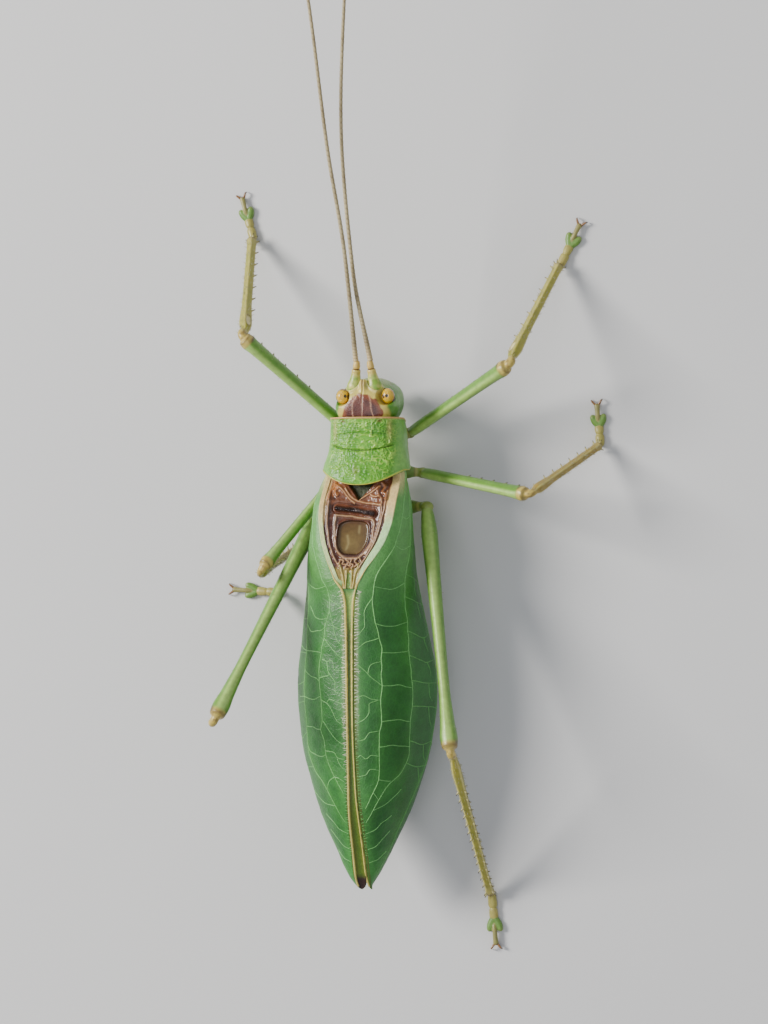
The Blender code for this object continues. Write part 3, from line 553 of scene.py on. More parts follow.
def wing_grid(side, rows, strip_columns, columns):
    """The smooth outer surface: points, y, distance from the ridge, band width and arc length."""
    y = np.linspace(WING_FRONT, WING_TIP, rows)
    inner = INNER_MARGIN[side](y)
    ridge = WING_RIDGE(y) - root_dip(inner, y)
    lapped = smooth((y - 15.7) / 1.2)
    if side == LEFT:
        margin = inner + (-0.12 - 2.0 * inner) * lapped
        edge = inner + BAND_WIDTH[side] * (1.0 - lapped)
    else:
        margin, edge = inner, inner + 0.28 + (BAND_WIDTH[side] - 0.28) * (1.0 - smooth((y - 13.0) / 3.2))
        ridge = ridge - 0.1 * lapped
    width = np.maximum(WING_WIDTH(y), edge + 0.25)
    bulge, hem = np.minimum(WING_BULGE(y), ridge - 0.4), WING_HEM(y)
    tuck = width * HEM_TUCK(y)
    flank = np.linspace(0.0, np.pi / 2.0, 60)[None, :]
    under = np.linspace(0.0, np.pi / 2.0, 40)[None, 1:]
    power = 2.0 / FLANK_POWER
    rise, fall = np.sin(flank) ** power, np.clip(np.cos(flank), 0.0, 1.0) ** power
    x = np.concatenate([edge[:, None] + (width - edge)[:, None] * rise,
                        tuck[:, None] + (width - tuck)[:, None] * np.cos(under)], 1)
    z = np.concatenate([bulge[:, None] + (ridge - bulge)[:, None] * fall,
                        bulge[:, None] - (bulge - hem)[:, None] * np.sin(under)], 1)
    arc = np.concatenate([np.zeros((rows, 1)), np.cumsum(np.hypot(np.diff(x), np.diff(z)), 1)], 1)
    share = np.linspace(0.0, 1.0, columns)
    far = np.stack([np.interp(share * s[-1], s, row) for s, row in zip(arc, x)])
    tall = np.stack([np.interp(share * s[-1], s, row) for s, row in zip(arc, z)])
    t = np.linspace(0.0, 1.0, strip_columns)[None, :-1]
    groove = 0.13 * lapped[:, None] * (side == LEFT) * (1.0 - (2.0 * t - 1.0) ** 2) ** 0.7
    strip_x = margin[:, None] + (edge - margin)[:, None] * t
    strip_z = ridge[:, None] - groove
    x = np.concatenate([strip_x, far], 1)
    z = np.concatenate([strip_z, tall], 1)
    # both tips draw in to a rounded point
    close = np.sqrt(np.clip(1.0 - np.clip((y - 44.7) / 1.9, 0.0, 1.0) ** 2.2, 0.001, 1.0))[:, None]
    centre_x, centre_z = (0.12 if side == LEFT else 1.0), (ridge - 0.25)[:, None]
    x, z = centre_x + (x - centre_x) * close, centre_z + (z - centre_z) * close
    points = np.stack([side * x + middle(y)[:, None], np.broadcast_to(y[:, None], x.shape), z], -1)
    band = edge - margin
    distance = np.concatenate([band[:, None] * (t - 1.0), share[None, :] * arc[:, -1:]], 1)
    return points, y, distance, band, arc[:, -1]


def sheet_reader(points, normal, y, strip_columns, band, arc):
    """Turns a place on the unrolled wing into a point and a normal on its surface."""
    rows, columns = points.shape[:2]
    first = strip_columns - 1

    def read(place, reach):
        i = np.clip((place - y[0]) / (y[1] - y[0]), 0.0, rows - 1.001)
        over = first + reach / np.interp(place, y, arc) * (columns - 1 - first)
        inside = first + reach / np.interp(place, y, band) * first
        j = np.clip(np.where(reach >= 0.0, over, inside), 0.0, columns - 1.001)
        m, n = i.astype(int), j.astype(int)
        a, b = (i - m)[:, None], (j - n)[:, None]

        def mix(grid):
            near = grid[m, n] * (1 - b) + grid[m, n + 1] * b
            return near * (1 - a) + (grid[m + 1, n] * (1 - b) + grid[m + 1, n + 1] * b) * a

        return mix(points), mix(normal)

    return read


def vein(stock, read, line, half, tall, paint, end=0.6, wobble=0.07, sides=6, step=0.09, grow=0.0):
    """One raised vein laid on the wing, half sunk in its skin."""
    line = np.array(line, float)
    length = np.linalg.norm(np.diff(line, axis=0), axis=1).sum()
    count = max(int(length / step), 5)
    route = along(line, count)
    spot = np.stack([route[:, 0], route[:, 1], np.zeros(count)], -1)
    pinned = np.sin(np.pi * np.linspace(0.0, 1.0, count)) ** 0.5
    place = route[:, 0] + wobble * pinned * noise(spot, 0.9, 77)
    reach = route[:, 1] + wobble * pinned * noise(spot, 0.9, 78) * (np.abs(route[:, 1]) > 0.2)
    points, normal = read(place, reach)
    across = np.cross(normal, np.gradient(points, axis=0))
    size = np.linspace(1.0, end, count) * (1.0 + 0.12 * noise(spot, 0.35, 79))
    if grow > 0.0:
        size = size * (0.08 + 0.92 * smooth(np.linspace(0.0, 1.0, count) / grow))
    stock.tube(tube(points, half * size, tall * size, across, sides), paint)


def build_veins(side, word, read, arc):
    pale, lime = shade(112, 178, 98, 0.4), shade(92, 160, 78, 0.42)
    white, gold = shade(220, 220, 190, 0.4), shade(196, 182, 98, 0.34)
    stock = Stock()
    vein(stock, read, LONG_VEINS[side], 0.07, 0.045, pale)
    vein(stock, read, OUTER_VEIN, 0.06, 0.04, pale)
    vein(stock, read, HEM_VEIN, 0.06, 0.04, lime)
    for line in BRANCHES[side] + SHARED_BRANCHES:
        vein(stock, read, line, 0.05, 0.034, pale)
    for line in hem_branches(arc, 5 + side):
        vein(stock, read, line, 0.045, 0.03, lime)
    # comb of short white veinlets along the ridge, thinning out towards the tip
    dice = np.random.default_rng(60 + side)
    place, last = 16.9, (34.0 if side == LEFT else 29.0)
    while place < 43.0:
        fade = 1.0 if place < last else 0.55
        reach = dice.uniform(0.34, 0.62) * (0.6 + 0.4 * fade)
        bend = dice.uniform(-0.12, 0.12)
        colour = white if place < last - 4.0 else tint(lime, white, max(0.0, (last + 4.0 - place) / 8.0))
        vein(stock, read, [(place, 0.04), (place + bend, reach * 0.6), (place + 1.6 * bend, reach)],
             0.045 * (0.7 + 0.3 * fade), 0.035, colour, end=0.45, wobble=0.0, sides=5)
        if dice.random() < 0.3 and place < last:
            vein(stock, read, [(place + bend, reach * 0.6), (place + 0.22, reach * 0.8)],
                 0.03, 0.025, colour, wobble=0.0, sides=5)
        place += dice.uniform(0.2, 0.38)
    reach = 0.0 if side == LEFT else -0.2
    cord = [(13.4, 0.0), (15.4, 0.0), (16.6, reach), (18.0, reach), (30.0, reach), (40.0, reach),
            (45.2, reach), (46.3, reach)]
    vein(stock, read, cord, 0.13, 0.1, gold, end=0.75, wobble=0.0, sides=10, grow=0.12)
    stock.piece("veins_" + word, LOOKS["wing"], "wing")


def build_wing(side, word):
    rows, strip_columns, columns = 421, 17, 111
    points, y, s, band, arc = wing_grid(side, rows, strip_columns, columns)
    normal = normals_of(points) * side
    yy = np.broadcast_to(y[:, None], s.shape)
    on_flank = smooth(s / 0.5)
    far_down = s / np.maximum(arc[:, None], 0.5)
    branches = LONG_VEINS[side], OUTER_VEIN, HEM_VEIN
    hollow = bell(line_distance(yy, s, [bent(line) for line in branches]), 0.5)
    behind = smooth((yy - 16.6) / 1.0)
    leading = (1.0 - smooth((yy - 15.2) / 1.6)) * (1.0 - smooth((s + 0.02) / 0.08))

    rise = 0.03 * hollow * on_flank + 0.07 * leading
    rise += 0.07 * fractal(points, 4.0, 2, 41) * on_flank + 0.03 * fractal(points, 1.1, 2, 42) * on_flank
    rise += 0.010 * fractal(points, 0.35, 2, 43) + 0.05 * bell(far_down - 1.0, 0.015)
    outer = points + normal * rise[..., None]
    inner = (points - normal * 0.15)[::2, ::2]

    deep, leaf = shade(26, 84, 26, 0.4), shade(44, 112, 40, 0.42)
    paint = tint(flood(leaf, s), deep, 0.5 + 0.7 * fractal(points, 2.6, 3, 51))
    paint = coats(
        paint,
        (shade(84, 150, 72, 0.44), 0.4 * bell(s - 0.2, 0.7) * on_flank),
        (shade(78, 146, 60, 0.42), 0.25 * hollow * on_flank),
        (shade(96, 160, 70), 0.5 * smooth((far_down - 0.84) / 0.14)),
        (shade(104, 168, 84), 0.6 * (1.0 - smooth((yy - 12.0) / 8.0))),
        (shade(170, 190, 140), 0.35 * bell(s - 0.28, 0.16) * behind * (1 - smooth((yy - 28) / 6))),
        (shade(96, 70, 26, 0.5), 0.65 * bell(s - 0.16, 0.07) * behind))
    strip = smooth((0.06 - s) / 0.1) * behind
    across = 1.0 + s / band[:, None]
    floor = tint(flood(shade(92, 104, 22, 0.5), paint), shade(66, 92, 16, 0.5),
                 bell(across - 0.5, 0.25))
    floor = tint(floor, shade(120, 150, 60, 0.45), 1.0 - smooth((yy - 18.5) / 3.0))
    paint = paint + (floor - paint) * strip[..., None]
    if side == LEFT:
        tip = smooth((yy - 44.9) / 0.7) * smooth((0.0 - s) / 0.1)
        paint = tint(paint, shade(40, 18, 14, 0.5), tip)
    mint = shade(176, 214, 150, 0.4) if side == RIGHT else shade(190, 206, 140, 0.4)
    paint = tint(paint, mint, leading)
    cream = leading * (1.0 - smooth((yy - 8.6) / 2.4))
    paint = tint(paint, shade(214, 184, 124, 0.42), cream)
    root = (1.0 - smooth((yy - 5.6) / 2.6)) * bell(np.maximum(s, 0.0), 1.2)
    paint = tint(paint, shade(206, 186, 128, 0.42), 0.85 * root)
    inner_paint = tint(paint[::2, ::2], shade(60, 100, 46, 0.5), 0.75)
    stock = Stock()
    stock.slab(outer, inner, paint, inner_paint)
    stock.piece("wing_" + word, LOOKS["wing"], "wing", ["tegmen_" + word], mapped=True)
    build_veins(side, word, sheet_reader(outer, normal, y, strip_columns, band, arc), (y, arc))


# --- Stridulatory area: file, mirror and wrinkled veins ------------------------------------

def strid_base(x, y, half):
    """Base height, sinking in the middle towards the front and at the shoulders."""
    front = PRONOTUM_LENGTH + 0.45 - 1.3 * (x / half) ** 2
    p = np.clip((y - front) / (STRID_END - front), 0.0, 1.0)
    return WING_RIDGE(y) - 0.55 * (1.0 - (x / half) ** 2) * (1.0 - p) - root_dip(np.abs(x), y)


def build_stridulatory_area():
    rows, columns = 281, 211
    q = np.linspace(-1.0, 1.0, columns)[None, :]
    p = np.linspace(0.0, 1.0, rows)[:, None]
    front = 5.9 - 1.15 * q * q
    end = STRID_END + 0.4
    y = front + p * (end - front)
    half = np.where(q > 0.0, INNER_MARGIN[LEFT](y), INNER_MARGIN[RIGHT](y)) + 0.05
    x = q * half
    z = strid_base(x, y, half) - 0.03
    points = np.stack([x + middle(y), y, z], -1)
    ripple = 0.05 * noise(points, 0.7, 5)
    x, y2 = x + ripple, y + 0.05 * noise(points, 0.7, 9)

    # mirror: a flat-topped round window with a double rim
    mx, my = (x - 0.02) / 1.62, y2 - 11.55
    above = my < 0.0
    power = np.where(above, 3.6, 2.5)
    mirror = (np.abs(mx) ** power + np.abs(np.where(above, my / 1.45, my / 1.95)) ** power) ** (1.0 / power)
    file_line = [(1.95, 8.86), (1.0, 8.99), (0.0, 9.12), (-1.0, 9.27), (-1.75, 9.4)]
    file_gap = line_distance(x, y2, [bent(file_line)])
    teeth = 0.5 + 0.5 * np.cos(2.0 * np.pi * x / 0.15)
    rim_lines = [
        [(1.95, 9.55), (0.7, 9.7), (-0.6, 9.84), (-1.6, 9.9), (-1.98, 10.4), (-2.0, 11.4), (-1.8, 12.5),
         (-1.3, 13.3), (-0.6, 13.75), (0.3, 13.8), (1.0, 13.45), (1.55, 12.7), (1.85, 11.6), (1.95, 10.4),
         (1.98, 9.7)],
    ]
    outer_lines = [
        [(2.86, 6.9), (2.85, 8.2), (2.8, 9.6), (2.64, 10.8), (2.3, 12.1), (1.74, 13.5), (1.05, 14.6)],
        [(-2.9, 7.2), (-2.88, 8.6), (-2.75, 9.9), (-2.45, 11.5), (-1.95, 12.9), (-1.3, 14.1), (-0.95, 14.7)],
        [(-2.5, 8.1), (-2.62, 9.4), (-2.45, 10.7), (-2.1, 12.2), (-1.5, 13.4)],
    ]
    vee_lines = [
        [(2.7, 6.5), (2.1, 6.72), (1.55, 7.15), (1.15, 7.65), (0.7, 8.1), (0.25, 8.42)],
        [(1.35, 6.95), (0.9, 7.55), (0.3, 8.05), (-0.6, 8.35), (-1.6, 8.5), (-2.5, 8.62)],
        [(-0.15, 8.1), (-0.7, 7.8), (-1.25, 7.4), (-1.75, 7.05), (-2.1, 6.75)],
        [(-1.3, 7.6), (-1.75, 7.75), (-2.2, 7.7), (-2.5, 8.1)],
    ]
    knots = [
        [(0.95, 13.85), (0.6, 14.0), (0.72, 14.3), (0.35, 14.4), (0.42, 14.75), (0.1, 14.8)],
        [(0.35, 13.95), (0.12, 14.15), (0.3, 14.35), (-0.05, 14.5)],
        [(-0.15, 13.95), (0.0, 14.25), (-0.35, 14.4), (-0.2, 14.75)],
        [(-0.75, 13.8), (-0.5, 14.05), (-0.75, 14.35), (-0.45, 14.6)],
        [(0.95, 14.0), (1.1, 14.3)], [(-0.95, 13.75), (-1.1, 14.1)],
    ]
    panel_lines = [
        [(1.0, 14.3), (0.72, 15.2), (0.5, 16.1), (0.4, 16.7)],
        [(-0.9, 14.3), (-0.66, 15.2), (-0.48, 16.1), (-0.4, 16.7)],
        [(0.3, 15.0), (0.27, 16.0), (0.3, 16.7)], [(-0.25, 15.0), (-0.26, 16.0), (-0.3, 16.7)],
    ]
    rim = line_distance(x, y2, [bent(line) for line in rim_lines])
    outer_rim = line_distance(x, y2, [bent(line) for line in outer_lines])
    vee = line_distance(x, y2, [bent(line) for line in vee_lines])
    knot = line_distance(x, y2, [bent(line) for line in knots])
    panel = line_distance(x, y2, [bent(line) for line in panel_lines])
    notch = smooth((0.32 + 0.75 * (7.9 - y2) - np.abs(x + 0.12)) / 0.25) * (1.0 - smooth((y2 - 8.1) / 0.2))
    wrinkle = fractal(points, 0.5, 3, 71)
    outside = smooth((mirror - 1.0) / 0.12)

    rise = 0.13 * bell(rim, 0.13) + 0.15 * bell(outer_rim, 0.11) + 0.16 * bell(vee, 0.11)
    rise += 0.2 * bell(knot, 0.1) + 0.14 * bell(panel, 0.09)
    rise += (0.34 + 0.08 * teeth) * bell(file_gap, 0.27) - 0.14 * bell(file_gap - 0.42, 0.12)
    rise += 0.10 * bell(mirror - 1.02, 0.05) - 0.16 * (1.0 - smooth((mirror - 0.86) / 0.14))
    rise += 0.06 * wrinkle * outside - 0.5 * notch
    rise += 0.03 * bell(np.hypot(x, y2 - 11.9), 1.2)
    hinges = [
        [(2.95, 6.1), (2.5, 6.5), (2.62, 7.0), (2.95, 7.3), (2.98, 7.9)],
        [(2.2, 6.9), (2.35, 7.25), (2.1, 7.6)],
        [(-2.2, 6.4), (-2.6, 6.8), (-2.45, 7.3), (-2.85, 7.6), (-2.9, 8.0)],
        [(-2.0, 6.9), (-1.95, 7.25), (-2.2, 7.7)],
    ]
    swell = 0.17 + 0.07 * noise(points, 0.4, 91)
    knuckle = np.exp(-(line_distance(x, y2, [bent(line) for line in hinges]) / swell) ** 2)
    rise += (0.17 + 0.06 * noise(points, 0.3, 92)) * knuckle
    outer = points + np.array([0.0, 0.0, 1.0]) * rise[..., None]
    inner = (points - np.array([0.0, 0.0, 0.85]))[::2, ::2]

    plate, dark, tan = shade(100, 58, 38, 0.28), shade(46, 22, 14, 0.25), shade(184, 146, 108, 0.28)
    paint = tint(flood(plate, x), dark, 0.4 + 0.9 * fractal(points, 0.8, 3, 61))
    paint = tint(paint, shade(128, 76, 46, 0.28), 0.55 * smooth((8.7 - y2) / 0.5) * (1 - notch))
    gutter = outside * smooth((y2 - 9.9) / 0.4) * (1.0 - smooth((y2 - 14.2) / 0.6))
    paint = tint(paint, shade(66, 24, 12, 0.28), 0.75 * gutter)
    glass = 1.0 - smooth((mirror - 0.93) / 0.05)
    # the mirror's window, with a painted highlight as a lighter patch in its middle
    window = tint(flood(shade(84, 62, 32, 0.2), paint), shade(112, 94, 54, 0.18),
                  bell(np.hypot(x - 0.25, y2 - 12.3), 1.2))
    window = tint(window, shade(72, 40, 22, 0.22), 0.8 * smooth((10.9 - y2) / 1.0))
    window = tint(window, shade(150, 136, 92, 0.2),
                  0.5 * bell(line_distance(x, y2, [bent([(0.6, 12.9), (0.45, 12.3), (0.62, 11.6)]),
                                                   bent([(-0.5, 11.3), (-0.45, 10.7)])]), 0.13))
    paint = paint + (window - paint) * glass[..., None]
    paint = coats(
        paint,
        (shade(44, 16, 10, 0.3), 0.9 * bell(mirror - 0.97, 0.03)),
        (tan, 0.85 * bell(rim, 0.10)),
        (shade(200, 160, 122, 0.3), 0.85 * bell(outer_rim, 0.07)),
        (shade(198, 152, 108, 0.3), 0.85 * bell(vee, 0.08)),
        (shade(200, 160, 116, 0.3), 0.85 * bell(knot, 0.08)))
    tail = smooth((y2 - 14.5) / 0.5)
    paint = tint(paint, shade(150, 132, 52, 0.36), 0.8 * tail)
    paint = tint(paint, shade(206, 188, 112, 0.36), 0.85 * bell(panel, 0.08))
    lens = smooth((0.25 - np.abs(x)) / 0.06) * smooth((y2 - 15.05) / 0.3)
    paint = coats(
        paint,
        (shade(92, 122, 34, 0.42), lens),
        (shade(30, 8, 8, 0.08), 1.15 * bell(file_gap, 0.25)),
        (shade(178, 112, 84, 0.25), 0.5 * bell(file_gap - 0.33, 0.06) * (0.4 + 0.6 * teeth)),
        # painted glints: white highlights on the tops of the file's teeth
        (shade(226, 206, 200, 0.12),
         0.6 * bell(file_gap + 0.02, 0.1) * smooth((teeth - 0.6) / 0.3)
         * smooth(noise(points, 0.5, 66) * 2.0)),
        # dark green-brown tissue in the notch, painted darker still as shade in the recess
        (shade(40, 50, 8, 0.6), notch))
    amber = bell(np.hypot(x - 2.5, (y2 - 6.9) / 1.3), 0.45)
    paint = tint(paint, shade(190, 118, 40, 0.3), 0.85 * amber)
    reach = np.where(x > 0.0, x - 2.96, -x - 2.98)
    edge_cream = smooth(reach / 0.12) * (1.0 - smooth((y2 - 13.5) / 1.0))
    paint = tint(paint, shade(212, 180, 122, 0.38), 0.85 * edge_cream)
    paint = tint(paint, shade(156, 100, 58, 0.22), 0.75 * smooth((knuckle - 0.5) / 0.3))
    # a dark spot, and painted shade in the creases round the hinge knuckles
    spot_and_crease_shade = bell(np.hypot(x - 2.35, y2 - 7.95), 0.2) + 0.6 * bell(knuckle - 0.25, 0.14)
    paint = tint(paint, shade(44, 16, 8, 0.3), 0.85 * spot_and_crease_shade)
    stock = Stock()
    stock.slab(outer, inner, paint, tint(paint[::2, ::2], shade(90, 60, 40), 0.6))
    stock.piece("stridulatory_field", LOOKS["strid"], "mirror", ["stridulatory_area"], mapped=True)


# --- Pronotum ---------------------------------------------------------------------------

SHOULDER, ARCH, LOBE_BOTTOM = 8.4, 0.6, 5.3
PRONOTUM_WIDTH = track([(0.0, 3.6), (1.6, 3.65), (3.2, 3.8), (5.1, 4.3), (6.65, 4.35)])
PRONOTUM_TOP = track([(0.0, 10.9), (1.6, 10.85), (3.2, 10.8), (5.0, 11.1), (6.65, 11.35)])


def pronotum_grid(p, q):
    reach, side = np.abs(q), np.sign(q)
    turn = np.minimum(reach / ARCH, 1.0) * np.pi / 2.0
    drop = np.maximum(reach - ARCH, 0.0) / (1.0 - ARCH)
    across = np.sin(turn) ** 0.8
    front = 0.6 * drop ** 2
    back = PRONOTUM_LENGTH - 1.5 * across ** 2 - 0.7 * drop
    y = front + p * (back - front)
    x = side * PRONOTUM_WIDTH(y) * (across - 0.12 * drop ** 2)
    arch = np.clip(np.cos(turn), 0.0, 1.0) ** 0.8
    corner = 0.9 * np.abs(2.0 * p - 1.0) ** 5 * drop
    z = SHOULDER + (PRONOTUM_TOP(y) - SHOULDER) * arch - (SHOULDER - LOBE_BOTTOM) * drop + corner
    return np.stack([middle(y) + x, y, z], -1), x, y, np.broadcast_to(drop, y.shape)


def build_pronotum():
    rows, columns = 181, 321
    p = np.linspace(0.0, 1.0, rows)[:, None]
    spread = np.linspace(-1.0, 1.0, columns)[None, :]
    q = spread * (0.72 + 0.28 * np.abs(spread))
    points, x, y, drop = pronotum_grid(p, q)
    normal = normals_of(points)
    back = PRONOTUM_LENGTH - 1.5 * np.minimum((np.abs(x) / 4.1), 1.0) ** 2 - 0.7 * drop
    disc = 1.0 - smooth((np.abs(x) - 2.9) / 0.7)
    wander = points + 0.12 * np.stack([noise(points, 0.5, seed) for seed in (2, 3, 4)], -1)
    stretch = np.array([0.8, 1.25, 1.0])
    worm = 1.0 - np.abs(noise(wander * stretch, 0.44, 13))
    fine = 1.0 - np.abs(noise(wander * stretch[::-1], 0.26, 17))
    rugae = smooth((worm - 0.74) / 0.24)
    crumbs = smooth((fine - 0.66) / 0.3)
    rough_part = ((0.2 + 0.8 * disc) * smooth(y / 0.4) * smooth((back - y) / 0.35)
                  * (1 - 0.5 * smooth(drop / 0.3)))

    first_sulcus = bell(y - 1.55 - 0.08 * np.abs(x), 0.12) * smooth((2.7 - np.abs(x)) / 0.8)
    second = y - (3.28 - 0.055 * x * x * (np.abs(x) < 3) - 0.5 * (np.abs(x) >= 3))
    second_sulcus = bell(second, 0.10) * smooth((3.4 - np.abs(x)) / 0.4)
    lateral = bell(np.abs(x) - 2.55 - 0.12 * (y - 2.4), 0.16) * bell(y - 2.4, 0.9)
    front_rim = bell(y - 0.6 * drop ** 2 - 0.08, 0.13)
    rear_rim = bell(back - y, 0.1)
    lobe_rim = bell(drop - 1.0, 0.05)
    pit = bell(np.hypot(np.abs(x) - 1.95, y - 0.55), 0.22)

    rise = rough_part * (0.05 * rugae + 0.045 * crumbs) + 0.015 * fractal(points, 0.25, 2, 23)
    rise += -0.14 * second_sulcus - 0.07 * first_sulcus - 0.05 * lateral - 0.07 * pit
    rise += 0.08 * front_rim + 0.06 * rear_rim + 0.07 * lobe_rim
    rise += 0.06 * bell(x, 0.9) * smooth((y - 4.0) / 1.5)
    outer = points + normal * rise[..., None]
    inner = (points - normal * 0.2)[::2, ::2]

    green, deep = shade(98, 168, 34, 0.4), shade(62, 130, 18, 0.42)
    paint = tint(flood(green, x), deep, 0.45 + 0.8 * fractal(points, 1.1, 3, 27))
    paint = tint(paint, shade(122, 180, 84, 0.4), 0.75 * (1.0 - disc))
    paint = tint(paint, shade(98, 160, 70, 0.4),
                 0.4 * smooth((y - 4.6) / 1.2) * (1 - smooth((np.abs(x) + 2.2) / 3)))
    glint = rough_part * (0.5 * rugae + 0.5 * crumbs) * (0.55 + 0.7 * fractal(points, 1.4, 2, 31))
    paint = coats(
        paint,
        (shade(180, 220, 92, 0.28), glint),
        (shade(140, 186, 118, 0.4), 0.6 * smooth(drop / 0.25)),
        (shade(196, 172, 104, 0.36), 0.45 * bell(np.abs(x) - 2.75, 0.25) * bell(y - 1.2, 1.2)),
        (shade(206, 146, 96, 0.36), 0.95 * bell(y - 0.6 * drop ** 2 - 0.08, 0.1)),
        (shade(26, 52, 8, 0.5), 0.85 * bell(second, 0.05) * smooth((3.3 - np.abs(x)) / 0.4)),
        (shade(50, 92, 20, 0.5), 0.3 * first_sulcus))
    scar = (bell(np.hypot((np.abs(x) - 1.85) / 0.28, (y - 0.42) / 0.14), 1.0)
            * (0.6 + 0.6 * noise(points, 0.16, 29)))
    paint = coats(
        paint,
        (shade(112, 62, 34, 0.45), scar),
        (shade(104, 96, 24, 0.4), 0.55 * bell(np.hypot(x - 0.35, (y - 5.25) / 1.3), 0.34)),
        (shade(200, 180, 66, 0.36), 0.9 * bell(back - y, 0.06)),
        (shade(186, 180, 96, 0.4), 0.8 * bell(drop - 1.0, 0.05)))
    stock = Stock()
    stock.slab(outer, inner, paint, tint(paint[::2, ::2], shade(150, 160, 110, 0.5), 0.7))
    stock.piece("pronotum_shell", LOOKS["pronotum"], "pronotum", ["pronotum"], mapped=True)


# --- Head -------------------------------------------------------------------------------

EYE_CENTRE = (2.3, -2.08, 9.17)
SCAPE_FOOT = np.array([1.1, -2.6, 9.25])
SCAPE_END = np.array([0.74, -4.75, 9.75])


def on_head(side, place):
    return np.array([float(middle(-1.0)) + side * place[0], place[1], place[2]])


def axis_distance(points, start, end):
    """Distance from an endless line, and place along it from 0 at start to 1 at end."""
    line = end - start
    place = ((points - start) @ line) / (line @ line)
    return np.linalg.norm(points - start - place[..., None] * line, axis=-1), place


def build_head():
    rows, columns = 241, 300
    t = np.linspace(0.0, 1.0, rows)
    height = track([(0.0, 3.3), (0.03, 3.32), (0.07, 3.6), (0.2, 4.6), (0.4, 6.2), (0.6, 7.8), (0.8, 9.35),
                    (0.88, 9.9), (0.94, 10.22), (0.98, 10.37), (1.0, 10.4)])(t)
    half_width = track([(0.0, 0.02), (0.03, 1.2), (0.07, 1.85), (0.2, 2.55), (0.4, 3.08), (0.6, 2.98),
                        (0.8, 2.42), (0.88, 1.98), (0.94, 1.38), (0.98, 0.68), (1.0, 0.02)])(t)
    half_depth = track([(0.0, 0.02), (0.03, 0.8), (0.07, 1.25), (0.2, 1.78), (0.4, 2.18), (0.6, 2.22),
                        (0.8, 1.95), (0.88, 1.6), (0.94, 1.12), (0.98, 0.55), (1.0, 0.02)])(t)
    centre = track([(3.3, -2.4), (4.6, -2.15), (6.0, -1.85), (8.0, -1.6), (10.4, -1.25)])(height)
    turn = 2.0 * np.pi * np.arange(columns) / columns
    x = half_width[:, None] * np.sin(turn)[None, :]
    front = np.cos(turn)[None, :]
    rear = 1.0 + 0.34 * (front < 0.0)
    y = centre[:, None] - half_depth[:, None] * np.sign(front) * np.abs(front) ** 0.92 * rear
    flare = track([(3.6, 0.0), (6.0, 0.02), (7.4, 0.05), (9.0, 0.2), (9.9, 0.3), (10.4, 0.3)])(height)
    x = x * (1.0 + flare[:, None] * smooth((y + 2.4) / 1.5))
    z = np.broadcast_to(height[:, None], x.shape)
    lean = float(middle(-1.0))
    points = np.stack([lean + x, y, z], -1)
    normal = -normals_of(points, ring=True)
    if (normal[rows // 2, 0] @ np.array([0.0, -1.0, 0.0])) < 0.0:
        normal = -normal
    ahead = smooth((front + 0.1) / 0.4)

    sunk, eye_gap = np.zeros(x.shape), np.full(x.shape, 9.0)
    for side in SIDES:
        offset = points - on_head(side, EYE_CENTRE)
        eye_gap = np.minimum(eye_gap, np.linalg.norm(offset, axis=-1))
        gap = np.hypot(offset[..., 0], offset[..., 1])
        outward = side * offset[..., 0] - 0.9 * np.maximum(offset[..., 1], 0.0)
        inner_side = smooth(0.6 - outward / 0.5)
        hollow = np.maximum(offset[..., 2] + 0.02, 0.0) * inner_side * (1.0 - smooth((gap - 0.72) / 0.3))
        sunk = np.maximum(sunk, hollow)
    scape_gap, scape_place = np.full(x.shape, 9.0), np.zeros(x.shape)
    for side in SIDES:
        gap, place = axis_distance(points, on_head(side, SCAPE_FOOT), on_head(side, SCAPE_END))
        nearer = (gap < scape_gap) & (place > -0.6)
        scape_gap, scape_place = np.where(nearer, gap, scape_gap), np.where(nearer, place, scape_place)
    on_front = ahead * smooth((scape_place + 0.5) / 0.3)
    fastigium = bell(x, 0.33) * bell(z - 9.72, 0.34) * ahead
    clypeus_line = bell(z - (4.95 - 0.10 * x * x), 0.09) * bell(x, 1.5) * ahead
    mid_line = bell(z - 4.3, 0.07) * smooth((1.35 - np.abs(x)) / 0.2) * ahead
    cheek = np.abs(x) - (2.15 - 0.22 * (7.6 - z))
    cheek_line = bell(cheek, 0.09) * smooth((7.9 - z) / 0.4) * smooth((z - 4.2) / 0.4) * ahead
    frons = bell(x, 1.5) * bell(z - 6.9, 1.5) * ahead
    ocellus = bell(np.hypot(x, (z - 8.55)), 0.15) * ahead

    rise = 0.07 * bell(eye_gap - 0.86, 0.1)
    rise += 0.16 * bell(scape_gap - 0.7, 0.11) * on_front - 0.35 * smooth((0.5 - scape_gap) / 0.2) * on_front
    rise += 0.85 * fastigium - 0.28 * bell(x, 0.07) * bell(z - 9.75, 0.4) * ahead
    rise += -0.08 * clypeus_line - 0.05 * mid_line - 0.07 * cheek_line + 0.10 * frons + 0.08 * ocellus
    rise += 0.03 * fractal(points, 0.5, 3, 81) * ahead + 0.012 * fractal(points, 0.16, 2, 83)
    crown = smooth((z - 9.0) / 0.6)
    suture = bell(x, 0.05) * crown * smooth((y + 2.9) / 0.3)
    rise -= 0.03 * suture
    outer = points + normal * rise[..., None] - np.array([0.0, 0.0, 1.0]) * sunk[..., None]

    green, face = shade(92, 148, 44, 0.34), shade(150, 170, 78, 0.34)
    paint = tint(flood(green, x), face, 0.8 * ahead * smooth((2.4 - np.abs(x)) / 0.8))
    paint = tint(paint, shade(176, 190, 104, 0.34), 0.6 * frons)
    paint = tint(paint, shade(70, 126, 30, 0.36), 0.35 + 0.6 * fractal(points, 1.3, 3, 85))
    lower = smooth((5.0 - z) / 0.3) * ahead * smooth((1.6 - np.abs(x)) / 0.3)
    paint = tint(paint, shade(206, 204, 150, 0.36), 0.7 * lower)
    paint = tint(paint, shade(120, 96, 58, 0.4), 0.55 * clypeus_line + 0.4 * mid_line + 0.35 * cheek_line)
